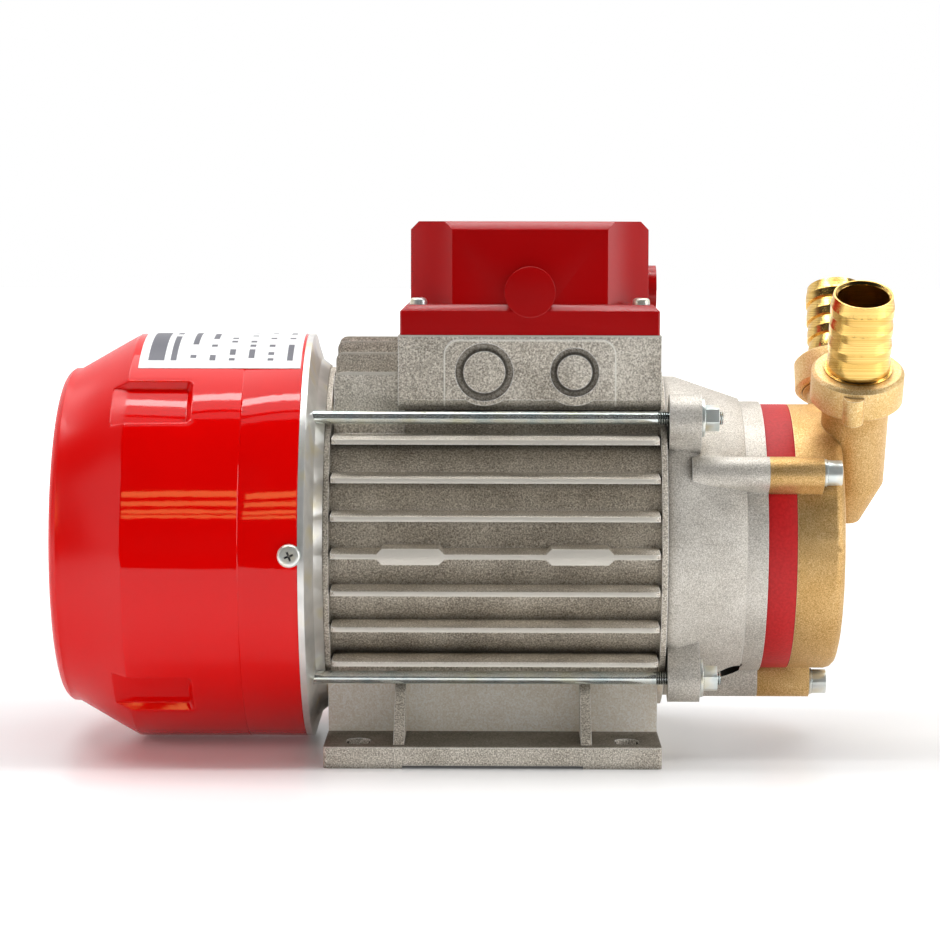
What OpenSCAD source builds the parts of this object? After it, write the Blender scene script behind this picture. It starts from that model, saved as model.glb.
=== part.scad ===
// Electric self-priming pump: a foot-mounted motor with a brass pump head and two hose ports.
// The shaft runs along X, the pump end is +X, and the feet stand on Z = 0.

/* [Motor] */
// Height of the shaft above the feet
shaft_h = 71; // [71:1:90]
// Length of the finned housing between its two end shields
housing_len = 115.3; // [100:1:150]
// How far the middle of the housing lies ahead of the middle of the feet
housing_ahead = 0.75; // [0:0.25:3]
// Outside radius of the housing wall between the fins
housing_r = 54; // [52:0.5:56]
// Thickness of the housing wall
housing_wall = 3.5; // [2.5:0.5:5]
// Radius that the fin tips reach
fin_r = 69.8; // [66:0.5:70]
// Distance from one fin to the next
fin_pitch = 12.4; // [11:0.1:12.6]
// Thickness of a fin at its tip
fin_tip_t = 1.6; // [1:0.1:2.5]
// Thickness of a fin at its root
fin_root_t = 3.2; // [2.6:0.1:4]
// Length of the laminated stack
stack_len = 60; // [40:1:70]
// Radius of the air gap
gap_r = 30; // [26:0.5:32]
// Number of slots in the stator
slot_count = 24; // [12:2:24]

/* [Feet] */
// Length of the foot plate
foot_len = 112.4; // [110:1:140]
// Width of the foot plate
foot_w = 138; // [134:1:150]
// Thickness of the foot plate
foot_t = 7; // [5:0.5:10]
// Distance between the foot slots along the shaft
foot_hole_x = 90; // [80:1:92]
// Distance between the foot slots across the shaft
foot_hole_y = 112; // [110:1:116]
// Width of a foot slot
foot_slot_w = 8; // [6:0.5:9]
// Length of a foot slot
foot_slot_len = 12.4; // [10:0.5:14]
// Distance between the outsides of the two foot walls
foot_wall_w = 70; // [64:1:76]

/* [Fan cover] */
// Outside radius of the fan cover
cover_r = 70.6; // [70:0.2:70.8]
// Wall thickness of the fan cover
cover_t = 2.5; // [2:0.25:3]
// Length of the fan cover
cover_len = 84.5; // [80:1:110]
// Length of its cone
cone_len = 26; // [20:1:30]
// Radius of the flat end
cover_end_r = 54.2; // [50:1:58]
// Gap between the tips of the cooling fan and the inside of the cover
fan_tip_gap = 10.1; // [6:0.1:20]
// Number of fan blades
blade_count = 8; // [5:1:12]

/* [Terminal box] */
// Length of the box along the shaft
box_len = 88.6; // [84:0.5:90]
// Width of the box across the shaft
box_w = 88; // [84:1:92]
// Height of the box casting
box_h = 25.3; // [24:0.5:32]
// How far the middle of the box lies ahead of the middle of the feet
box_ahead = 12.2; // [6:0.5:13]
// Height of the lid flange
lid_flange_h = 10.2; // [8:0.5:14]
// Height of the raised part of the lid
lid_rise = 28; // [22:1:40]
// Wall thickness of the lid
lid_t = 2.5; // [2:0.25:3]
// Size of the lid's slanted corners
lid_corner = 14.3; // [12:0.5:15]

/* [Pump] */
// Radius of the pump ring and the brass head
head_r = 46.3; // [46:0.5:50]
// Length of the front shield
shield_len = 34.4; // [33:0.5:45]
// Length of the red pump ring
ring_len = 9.9; // [9:0.5:14]
// Length of the brass head
head_len = 16.5; // [15.5:0.5:24]
// Radius of the impeller
impeller_r = 38; // [32:0.5:39]
// Width of the impeller
impeller_w = 10.2; // [7:0.2:10.4]
// Number of vanes on the impeller
vane_count = 12; // [6:1:16]
// Radius of the circle that the pump bolts lie on
bolt_circle_r = 51.6; // [51.5:0.2:54]

/* [Ports] */
// Angle of each port from upright
port_angle = 27.2; // [25:0.5:40]
// Distance of the ports ahead of the brass head's face
port_ahead = 4.8; // [4:0.2:8]
// Outside radius of a port pipe
port_r = 11.4; // [10.6:0.1:12]
// Distance from the shaft axis to the mouth of a hose tail
port_reach = 96.5; // [90:0.5:110]
// Outside radius of a hose tail's ribs
tail_r = 10.8; // [10.4:0.1:11.2]
// Bore radius of a hose tail
tail_bore_r = 8.6; // [7:0.1:9]
// Length of the ribbed stretch of a hose tail
tail_len = 28.3; // [26:0.5:40]
// Outside radius of a ring nut
nut_r = 15.8; // [15.4:0.1:18]
// Height of a ring nut
nut_h = 12.2; // [11:0.2:16]

/* [Fits] */
// Gap round a bolt, a screw or a rod in its clearance hole
hole_gap = 0.2; // [0.1:0.05:0.5]
// Gap between two pieces that seat in each other
seat_gap = 0.02; // [0.01:0.01:0.05]
// Gap round a piece that turns in another
run_gap = 0.05; // [0.03:0.01:0.1]
// Gap beside a piece that turns free of its neighbour
free_gap = 0.3; // [0.2:0.05:0.6]

/* [Hidden] */
$fn = 96;
// How far a cutting shape runs past the face that it cuts
over = 1;

// Places along the shaft, worked out from the housing towards both ends
back_x = housing_ahead - housing_len / 2;
front_x = housing_ahead + housing_len / 2;
flange_t = 7.6;
mouth_x = back_x - flange_t;
cover_end_x = mouth_x - cover_len;
shield_end_x = front_x + shield_len;
ring_end_x = shield_end_x + ring_len;
head_end_x = ring_end_x + head_len;
port_x = head_end_x + port_ahead;
bore_r = housing_r - housing_wall;
fan_r = cover_r - cover_t - fan_tip_gap;

// Bearings of the 15 x 35 x 11 size, with the balls on their pitch circle
brg_r = 17.5;
brg_bore_r = 7.5;
brg_w = 11;
ball_r = 2.975;
ball_count = 8;
pitch_r = (brg_r + brg_bore_r) / 2;
race_gap = 0.1;
race_land = 1.9;
cage_t = 1.4;
cage_rail = 0.9;
washer_h = 1.2;
rear_brg_past = 1.5;
front_brg_past = 2.6;
rear_brg_x = mouth_x - rear_brg_past;
front_brg_x = front_x + front_brg_past;
hub_wall = 6.5;
hub_floor = 2.5;
shaft_hole_r = 9;
spigot_len = 5;
spigot_t = 4.4;

// Tie rods on the diagonals, outside the housing wall
rod_r = 2.2;
rod_circle_r = 62.4;
rod_angles = [45, 135, 225, 315];
rod_head_r = 4;
rod_head_t = 3;
rod_washer_r = 6.4;
rod_washer_t = 1.2;
rod_nut_r = 4.6;
rod_nut_t = 4.9;
rod_past = 1.3;

// A drawing frame with the shaft axis as its X axis
module on_axis() { translate([0, 0, shaft_h]) children(); }

// A frame whose Z axis points outwards from the shaft: 0 is the near side and 90 is up
module radial(angle) { on_axis() rotate([90 - angle, 0, 0]) children(); }

// A frame on a port's axis, with Z outwards: side 1 is the near port and -1 the far one
module on_port(side) { on_axis() translate([port_x, 0, 0]) rotate([side * port_angle, 0, 0]) children(); }

// A solid of revolution about the shaft, from points of radius and place along the shaft
module turned(outline) { on_axis() rotate([0, 90, 0]) rotate_extrude() polygon(outline); }

// A round bar along the shaft's direction
module bar_x(r, x0, x1) { translate([x0, 0, 0]) rotate([0, 90, 0]) cylinder(r = r, h = x1 - x0); }

// A ring about the shaft
module ring_x(r_in, r_out, x0, x1) {
    turned([[r_in, x0], [r_out, x0], [r_out, x1], [r_in, x1]]);
}

// A flat outline in Y and Z, drawn out along X
module ext_x(x0, x1) { translate([x0, 0, 0]) rotate([90, 0, 90]) linear_extrude(x1 - x0) children(); }

// A cylinder along a port's axis or a radial frame's axis
module post(r, z0, z1) { translate([0, 0, z0]) cylinder(r = r, h = z1 - z0); }

// Fan cover: a thin cup with a cone, a slotted end and four pockets round the diagonals
cone_tip_rise = 3.2;
cone_tip_r = cover_end_r + cone_tip_rise;
cone_tip_len = 3;
pocket_w = 18;
pocket_depth = 3;
pocket_in = 36.5;
pocket_end_x = mouth_x - pocket_in;
grille_hub_r = 14;
grille_slot = 4.5;
grille_bar = 3.5;
grille_rings = 4;
spoke_w = 5;
spoke_count = 6;
cover_screw_in = 2.7;
cover_screw_r = 2;
cover_screw_head_r = 3.95;
cover_screw_head_h = 2.4;
cover_screw_angles = [0, 180];
lug_w = 13;
lug_len = 7;
lug_depth = 8;
recess_w_share = 0.2;
recess_l_share = 1.1;
recess_depth_share = 0.6;

function cover_points(inset) = [
    [cover_r - inset, mouth_x], [cover_r - inset, cover_end_x + cone_len],
    [cone_tip_r - inset, cover_end_x + cone_tip_len], [cover_end_r - inset, cover_end_x + inset]
];

module cover_envelope() { turned(concat(cover_points(0), [[0, cover_end_x], [0, mouth_x]])); }

module pocket_zone(angle, grow, r_in, r_out) {
    intersection() {
        radial(angle) translate([cover_end_x, -pocket_w / 2 - grow, 0])
            cube([pocket_end_x + grow - cover_end_x, pocket_w + 2 * grow, 2 * cover_r]);
        ring_x(r_in, r_out, cover_end_x + cone_tip_len, pocket_end_x + grow);
    }
}

module grille() {
    difference() {
        for (i = [0:grille_rings - 1]) {
            r0 = grille_hub_r + i * (grille_slot + grille_bar);
            ring_x(r0, r0 + grille_slot, cover_end_x - over, cover_end_x + cover_t + over);
        }
        for (i = [0:spoke_count - 1]) radial(i * 360 / spoke_count)
            translate([cover_end_x - 2 * over, -spoke_w / 2, 0])
                cube([cover_t + 4 * over, spoke_w, cover_end_r]);
    }
}

module fan_cover() {
    color("#cf1019") difference() {
        union() {
            turned(concat(cover_points(0), [[0, cover_end_x], [0, cover_end_x + cover_t]],
                [for (i = [3:-1:0]) cover_points(cover_t)[i]]));
            for (a = rod_angles) intersection() {
                pocket_zone(a, cover_t, cover_r - pocket_depth - cover_t, cover_r - cover_t + seat_gap);
                cover_envelope();
            }
        }
        for (a = rod_angles) pocket_zone(a, 0, cover_r - pocket_depth, cover_r + over);
        grille();
        for (a = cover_screw_angles) radial(a) translate([mouth_x - cover_screw_in, 0, 0])
            post(cover_screw_r + hole_gap, cover_r - cover_t - over, cover_r + over);
    }
}

// A pan-head screw that points down its Z axis from the face at Z = 0, with a cross recess
module pan_screw(r, length, head_r, head_h) {
    difference() {
        union() {
            translate([0, 0, -length]) cylinder(r = r, h = length + head_h / 2);
            cylinder(r = head_r, h = head_h / 2);
            translate([0, 0, head_h / 2])
                cylinder(r1 = head_r, r2 = head_r * recess_depth_share, h = head_h / 2);
        }
        for (a = [0, 90]) rotate([0, 0, a]) translate([0, 0, head_h * (1 - recess_depth_share)])
            translate([-head_r * recess_l_share / 2, -head_r * recess_w_share / 2, 0])
                cube([head_r * recess_l_share, head_r * recess_w_share, head_h]);
    }
}

module fan_cover_screws() {
    color("#c9cbc4") for (a = cover_screw_angles) radial(a)
        translate([mouth_x - cover_screw_in, 0, cover_r + seat_gap])
            pan_screw(cover_screw_r, cover_t + lug_depth - over, cover_screw_head_r, cover_screw_head_h);
}

// Rating label: a foil bent over the top of the cover
label_t = 0.2;
label_len = 55;
label_half_w = 37.1;
label_in = 0.9;

module rating_label() {
    color("#f4f4f2") intersection() {
        ring_x(cover_r + seat_gap, cover_r + label_t, mouth_x - label_in - label_len, mouth_x - label_in);
        on_axis() translate([mouth_x - label_in - label_len - over, -label_half_w, 0])
            cube([label_len + 2 * over, 2 * label_half_w, 2 * cover_r]);
    }
}

// Rear shield: a machined rim, a web and the rear bearing's seat
rim_t = 2.1;
rim_step_r = cover_r - 2.6;
rim_step_t = 0.7;
rim_foot_r = cover_r - 8.6;
rim_foot_t = 1.9;
flange_face_r = cover_r - 10.8;
web_t = 6;

module rear_shield() {
    hub_r = brg_r + hub_wall;
    seat_end = rear_brg_x - washer_h;
    color("#b9b7b0") difference() {
        union() {
            turned([[shaft_hole_r, seat_end - hub_floor], [hub_r, seat_end - hub_floor], [hub_r, mouth_x],
                [cover_r, mouth_x], [cover_r, mouth_x + rim_t], [rim_step_r, mouth_x + rim_t + rim_step_t],
                [rim_foot_r, mouth_x + rim_t + rim_step_t + rim_foot_t], [flange_face_r, back_x],
                [bore_r - run_gap, back_x], [bore_r - run_gap, back_x + spigot_len],
                [bore_r - spigot_t, back_x + spigot_len], [bore_r - spigot_t, mouth_x + web_t],
                [hub_r, mouth_x + web_t], [hub_r, rear_brg_x + brg_w], [brg_r + seat_gap, rear_brg_x + brg_w],
                [brg_r + seat_gap, seat_end], [shaft_hole_r, seat_end]]);
            intersection() {
                for (a = cover_screw_angles) radial(a)
                    translate([mouth_x - lug_len, -lug_w / 2, cover_r - cover_t - lug_depth])
                        cube([lug_len + rim_t, lug_w, lug_depth]);
                ring_x(hub_r, cover_r - cover_t - run_gap, mouth_x - lug_len, mouth_x + rim_t);
            }
        }
        for (a = rod_angles) radial(a) translate([0, 0, rod_circle_r])
            bar_x(rod_r + hole_gap, mouth_x - over, back_x + over);
        for (a = cover_screw_angles) radial(a) translate([mouth_x - cover_screw_in, 0, 0])
            post(cover_screw_r + seat_gap, cover_r - cover_t - lug_depth - over, cover_r);
    }
}

// Stator housing: finned barrel with the feet and the terminal box cast on
fin_drop = 0.4;
fin_inset = 3;
fin_side_count = 3;
collar_r = 59;
collar_t = 2;
pad_x = 28;
pad_len = 22;
pad_h = 5.3;
pad_chamfer = 1.6;
foot_corner_r = 2;
foot_wall_t = 5;
foot_web_t = 8;
gusset_x = 31.3;
gusset_t = 3.6;
gusset_drop = 6;
foot_relief_len = 60;
foot_relief_h = 1;
box_sink = 7.5;
box_wall = 4;
box_chamfer = 3.5;
box_panel_len = 57.6;
box_panel_t = 0.5;
box_panel_r = 5;
box_panel_in = 1.3;
post_r = 4.6;
lid_screw_r = 2;
lid_screw_in_x = 7.35;
lid_screw_in_y = 6;
lid_screw_len = 20;
knock_z_share = 0.51;
knock_collar_r = 11.3;
knock_groove = 1.2;
knocks = [[-15.3, 7.05, 9.75], [15.1, 5.9, 8.2]];
cable_hole_r = 6;
cable_hole_past = 10;
entry_r = 8;
pad_rise = 1;
gasket_w = 2;
gasket_t = 1.2;
box_z = shaft_h + housing_r - box_sink;
box_top_z = box_z + box_h;
pad_z = shaft_h + housing_r + pad_rise;

module fin(offset_y, x0, x1) {
    tip = sqrt(fin_r * fin_r - offset_y * offset_y);
    root = sqrt(housing_r * housing_r - offset_y * offset_y) - housing_wall / 2;
    ext_x(x0, x1) polygon([[offset_y - fin_tip_t / 2, tip], [offset_y + fin_tip_t / 2, tip],
        [offset_y + fin_root_t / 2, root], [offset_y - fin_root_t / 2, root]]);
}

module fin_pads(y) {
    reach = sqrt(fin_r * fin_r - y * y);
    for (s = [-1, 1]) translate([housing_ahead + s * pad_x, y, 0]) {
        root = housing_r - housing_wall / 2;
        translate([0, 0, root]) linear_extrude(reach - root) polygon([
            [-pad_len / 2, -pad_h / 2 + pad_chamfer], [-pad_len / 2 + pad_chamfer, -pad_h / 2],
            [pad_len / 2 - pad_chamfer, -pad_h / 2], [pad_len / 2, -pad_h / 2 + pad_chamfer],
            [pad_len / 2, pad_h / 2 - pad_chamfer], [pad_len / 2 - pad_chamfer, pad_h / 2],
            [-pad_len / 2 + pad_chamfer, pad_h / 2], [-pad_len / 2, pad_h / 2 - pad_chamfer]]);
    }
}

module fins() {
    for (k = [-fin_side_count:fin_side_count]) {
        radial(0) fin(k * fin_pitch - fin_drop, back_x + fin_inset, front_x - fin_inset);
        radial(180) fin(fin_drop - k * fin_pitch, back_x + fin_inset, front_x - fin_inset);
        radial(90) fin(k * fin_pitch, back_x + fin_inset, box_ahead - box_len / 2 + box_wall / 2);
    }
    radial(0) fin_pads(-fin_drop);
    radial(180) fin_pads(fin_drop);
}

module foot_solid() {
    wall_top = shaft_h - sqrt(bore_r * bore_r - foot_wall_w * foot_wall_w / 4);
    translate([-foot_len / 2, 0, 0]) {
        translate([foot_corner_r, 0, 0]) linear_extrude(foot_t) offset(r = foot_corner_r)
            translate([0, foot_corner_r - foot_w / 2])
                square([foot_len - 2 * foot_corner_r, foot_w - 2 * foot_corner_r]);
        for (y = [-foot_wall_w / 2, -foot_web_t / 2, foot_wall_w / 2 - foot_wall_t])
            translate([0, y, foot_t / 2])
                cube([foot_len, y == -foot_web_t / 2 ? foot_web_t : foot_wall_t, wall_top - foot_t / 2]);
    }
    for (x = [-gusset_x, gusset_x], s = [-1, 1]) ext_x(x - gusset_t / 2, x + gusset_t / 2)
        polygon([[s * (foot_wall_w / 2 - foot_wall_t / 2), foot_t / 2],
            [s * (foot_w / 2 - gusset_drop), foot_t / 2], [s * (foot_w / 2 - gusset_drop), foot_t],
            [s * foot_wall_w / 2, wall_top - gusset_drop],
            [s * (foot_wall_w / 2 - foot_wall_t / 2), wall_top - gusset_drop]]);
}

module foot_cuts() {
    for (x = [-1, 1], y = [-1, 1]) translate([x * foot_hole_x / 2, y * foot_hole_y / 2, -over])
        for (s = [-1, 1]) translate([0, s * (foot_slot_len - foot_slot_w) / 2, 0])
            cylinder(r = foot_slot_w / 2, h = foot_t + 2 * over);
    for (x = [-1, 1], y = [-1, 1])
        translate([x * foot_hole_x / 2 - foot_slot_w / 2,
            y * foot_hole_y / 2 - (foot_slot_len - foot_slot_w) / 2, -over])
            cube([foot_slot_w, foot_slot_len - foot_slot_w, foot_t + 2 * over]);
    for (y = [-foot_w - foot_web_t / 2, foot_web_t / 2]) translate([-foot_relief_len / 2, y, -over])
        cube([foot_relief_len, foot_w, over + foot_relief_h]);
}

module on_box(z) { translate([box_ahead, 0, z]) children(); }

module box_solid() {
    half_w = box_w / 2;
    knock_z = box_z + box_h * knock_z_share;
    ext_x(box_ahead - box_len / 2, box_ahead + box_len / 2) polygon([
        [-half_w, box_top_z], [half_w, box_top_z], [half_w, box_z + box_chamfer],
        [half_w - box_chamfer, box_z], [box_chamfer - half_w, box_z], [-half_w, box_z + box_chamfer]]);
    for (s = [-1, 1]) on_box(box_z + box_chamfer) intersection() {
        translate([-box_panel_len / 2, s * half_w - box_panel_t, 0])
            cube([box_panel_len, 2 * box_panel_t, box_h - box_chamfer - box_panel_in]);
        rotate([90, 0, 0]) translate([0, 0, -box_w]) linear_extrude(2 * box_w) offset(r = box_panel_r)
            offset(delta = -box_panel_r) translate([-box_panel_len / 2, -box_h])
                square([box_panel_len, 2 * box_h - box_chamfer - box_panel_in]);
    }
    for (k = knocks) translate([box_ahead + k[0], box_panel_t - half_w, knock_z]) rotate([-90, 0, 0])
        translate([0, 0, -2 * box_panel_t]) cylinder(r = knock_collar_r, h = box_wall + 2 * box_panel_t);
}

module lid_screw_places() {
    for (x = [-1, 1], y = [-1, 1])
        translate([box_ahead + x * (box_len / 2 - lid_screw_in_x), y * (box_w / 2 - lid_screw_in_y), 0])
            children();
}

module box_cuts() {
    inner_len = box_len - 2 * box_wall;
    inner_w = box_w - 2 * box_wall;
    difference() {
        on_box(box_z + box_wall) translate([-inner_len / 2, -inner_w / 2, 0])
            cube([inner_len, inner_w, box_h]);
        on_axis() bar_x(housing_r, back_x, front_x);
        lid_screw_places() post(post_r, box_z, box_top_z + over);
        on_box(box_z) translate([-block_len / 2, block_y - block_w / 2, 0])
            cube([block_len, block_w, pad_z - box_z]);
        on_box(box_z) translate([-clamp_len / 2, cap_y - clamp_base_w / 2, 0])
            cube([clamp_len, clamp_base_w, pad_z - box_z]);
    }
    translate([box_ahead, 0, box_top_z - gasket_t]) linear_extrude(gasket_t + over) gasket_outline(seat_gap);
    for (k = knocks) translate([box_ahead + k[0], -box_w / 2, box_z + box_h * knock_z_share])
        rotate([-90, 0, 0]) translate([0, 0, -over]) difference() {
            cylinder(r = k[2], h = over + knock_groove);
            cylinder(r = k[1], h = over + knock_groove);
        }
    translate([box_ahead, box_w / 2 - box_wall - over, box_z + box_h * knock_z_share])
        rotate([-90, 0, 0]) cylinder(r = entry_r, h = box_wall + box_panel_t + 2 * over);
}

module gasket_outline(grow) {
    mid_x = box_len - box_wall;
    mid_y = box_w - box_wall;
    difference() {
        square([mid_x + gasket_w + 2 * grow, mid_y + gasket_w + 2 * grow], center = true);
        square([mid_x - gasket_w - 2 * grow, mid_y - gasket_w - 2 * grow], center = true);
    }
}

module stator_housing() {
    color("#8f887c") difference() {
        union() {
            on_axis() bar_x(housing_r, back_x, front_x);
            on_axis() bar_x(collar_r, back_x, back_x + collar_t);
            on_axis() bar_x(collar_r, front_x - collar_t, front_x);
            fins();
            foot_solid();
            box_solid();
        }
        on_axis() bar_x(bore_r, back_x - over, front_x + over);
        foot_cuts();
        box_cuts();
        lid_screw_places() post(lid_screw_r + seat_gap, box_top_z - lid_screw_len, box_top_z + over);
        translate([housing_ahead + stack_len / 2 + cable_hole_past, 0, shaft_h])
            post(cable_hole_r, bore_r - over, housing_r + over);
    }
}

// Stator: slotted laminations with copper coils in the slots and round both ends
slot_w = 3.6;
slot_depth = 11;
slot_in = 2;
slot_mouth = 1.6;
slot_gap = 0.2;
winding_past = 15;
stack_x0 = housing_ahead - stack_len / 2;
stack_x1 = housing_ahead + stack_len / 2;

module slots(grow) {
    for (i = [0:slot_count - 1]) rotate(i * 360 / slot_count)
        translate([gap_r + slot_in - grow, -slot_w / 2 - grow])
            square([slot_depth + 2 * grow, slot_w + 2 * grow]);
}

module stator_core() {
    color("#7d7f83") on_axis() ext_x(stack_x0, stack_x1) difference() {
        circle(r = bore_r - seat_gap);
        circle(r = gap_r);
        slots(slot_gap);
        for (i = [0:slot_count - 1]) rotate(i * 360 / slot_count)
            translate([gap_r - over, -slot_mouth / 2]) square([slot_in + over, slot_mouth]);
    }
}

module stator_windings() {
    r0 = gap_r + slot_in;
    color("#b3622b") {
        on_axis() ext_x(stack_x0 - winding_past / 2, stack_x1 + winding_past / 2) slots(0);
        for (x = [stack_x0 - winding_past, stack_x1 + slot_gap])
            ring_x(r0, r0 + slot_depth, x, x + winding_past - slot_gap);
    }
}

// Rotor: laminations, cast end rings, and the stepped shaft
air_gap = 0.35;
rotor_seat_r = 10;
shoulder_r = 9;
fan_seat_r = 7;
seal_seat_r = 6.5;
impeller_seat_r = 5;
end_ring_len = 6;
end_ring_share = 0.66;
clip_t = 1;
clip_out = 2.6;
clip_groove = 0.7;
shaft_past_clip = 2;
shaft_chamfer = 0.8;
fan_hub_len = 24;
fan_hub_wall = 5.5;
fan_disc_t = 2;
fan_blade_t = 2;
fan_blade_len = 22;
fan_clear = 10;
fan_x = rear_brg_x - washer_h - hub_floor - fan_clear;
fan_back_x = fan_x - fan_hub_len;
tail_end_x = fan_back_x - clip_t - shaft_past_clip;
seal_len = 17;
ring_hub_back = 11;
seat_len = 6;
seat_floor = 2.2;
seat_x = shield_end_x - ring_hub_back + seat_floor;
impeller_back_x = ring_end_x + free_gap;
impeller_front_x = impeller_back_x + impeller_w;
impeller_hub_x = seat_x + seal_len;
nose_x = impeller_front_x + clip_t + shaft_past_clip;

module rotor_core() {
    color("#74767a") ring_x(rotor_seat_r + seat_gap, gap_r - air_gap, stack_x0, stack_x1);
}

module rotor_end_rings() {
    color("#b6b7b5") {
        ring_x(gap_r * end_ring_share, gap_r - slot_in, stack_x0 - end_ring_len, stack_x0);
        ring_x(gap_r * end_ring_share, gap_r - slot_in, stack_x1, stack_x1 + end_ring_len);
    }
}

module shaft() {
    c = shaft_chamfer;
    groove_r = fan_seat_r - clip_groove;
    nose_groove_r = impeller_seat_r - clip_groove;
    color("#c3c5c8") difference() {
        turned([[0, tail_end_x], [fan_seat_r - c, tail_end_x], [fan_seat_r, tail_end_x + c],
            [fan_seat_r, fan_back_x - clip_t], [groove_r, fan_back_x - clip_t], [groove_r, fan_back_x],
            [fan_seat_r, fan_back_x], [fan_seat_r, rear_brg_x], [brg_bore_r, rear_brg_x],
            [brg_bore_r, rear_brg_x + brg_w], [shoulder_r, rear_brg_x + brg_w], [shoulder_r, stack_x0],
            [rotor_seat_r, stack_x0], [rotor_seat_r, stack_x1], [shoulder_r, stack_x1],
            [shoulder_r, front_brg_x], [brg_bore_r, front_brg_x], [brg_bore_r, front_brg_x + brg_w],
            [seal_seat_r, front_brg_x + brg_w], [seal_seat_r, impeller_hub_x],
            [impeller_seat_r, impeller_hub_x], [impeller_seat_r, impeller_front_x],
            [nose_groove_r, impeller_front_x], [nose_groove_r, impeller_front_x + clip_t],
            [impeller_seat_r, impeller_front_x + clip_t], [impeller_seat_r, nose_x - c],
            [impeller_seat_r - c, nose_x], [0, nose_x]]);
        key_block(seat_gap);
    }
}

// Ball bearings, four pieces each
module race_groove(x) {
    on_axis() translate([x + brg_w / 2, 0, 0]) rotate([0, 90, 0]) rotate_extrude()
        translate([pitch_r, 0]) circle(r = ball_r + race_gap, $fn = 48);
}

module bearing_outer(x) {
    color("#aeb2b8") difference() {
        ring_x(pitch_r + race_land, brg_r, x, x + brg_w);
        race_groove(x);
    }
}

module bearing_inner(x) {
    color("#aeb2b8") difference() {
        ring_x(brg_bore_r + seat_gap, pitch_r - race_land, x, x + brg_w);
        race_groove(x);
    }
}

module balls(x, r) {
    for (i = [0:ball_count - 1]) radial(i * 360 / ball_count)
        translate([x + brg_w / 2, 0, pitch_r]) sphere(r = r, $fn = 32);
}

module bearing_cage(x) {
    half = ball_r + race_gap + cage_rail;
    color("#9c8a52") difference() {
        ring_x(pitch_r - cage_t / 2, pitch_r + cage_t / 2, x + brg_w / 2 - half, x + brg_w / 2 + half);
        balls(x, ball_r + race_gap);
    }
}

module preload_washer() {
    color("#8d9197") ring_x(pitch_r + race_land, brg_r - run_gap, rear_brg_x - washer_h, rear_brg_x);
}

// Cooling fan and its retaining clip
module cooling_fan() {
    hub_r = fan_seat_r + fan_hub_wall;
    root_r = hub_r - fan_hub_wall / 2;
    color("#2b2b2e") union() {
        ring_x(fan_seat_r + seat_gap, hub_r, fan_back_x, fan_x);
        ring_x(root_r, fan_r, fan_x - fan_disc_t, fan_x);
        for (i = [0:blade_count - 1]) radial(i * 360 / blade_count)
            translate([fan_x - fan_blade_len, -fan_blade_t / 2, root_r])
                cube([fan_blade_len - fan_disc_t / 2, fan_blade_t, fan_r - fan_blade_t - root_r]);
    }
}

module fan_clip() {
    r = fan_seat_r - clip_groove;
    color("#5d6064") ring_x(r + seat_gap, r + clip_out, fan_back_x - clip_t, fan_back_x);
}

// Front shield: bearing seat, open lantern with two drains, rod ears and bolt bosses
shield_back_r = 56;
shield_flange_t = 4.6;
shield_front_r = 48.4;
rim_r = 47.3;
rim_len = 7;
rim_chamfer = 0.4;
lantern_r = 40;
web_gap = 1;
web_x = front_brg_x + brg_w + web_gap;
web_front_t = 5;
web_hole_r = 8;
ear_in = 0.7;
ear_len = 10.7;
ear_r = 8;
ear_root = 50.5;
boss_r = 5.4;
boss_root = 44;
boss_len = 26;
bolt_angles = [30, 150, 270];
bolt_r = 2.5;
bolt_len = 30;
bolt_head_r = 4.25;
bolt_head_h = 5;
bolt_socket_r = 2.3;
bolt_socket_depth = 2.6;
bolt_washer_t = 1.1;
bolt_washer_r = 4.6;
brass_ear_len = 18.3;
drain_angles = [294, 246];
drain_r = 4.5;
drain_back = 11.3;
ear_end_x = front_x + ear_in + ear_len;
brass_ear_x = shield_end_x + free_gap / 3;
brass_ear_end = brass_ear_x + brass_ear_len;

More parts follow.
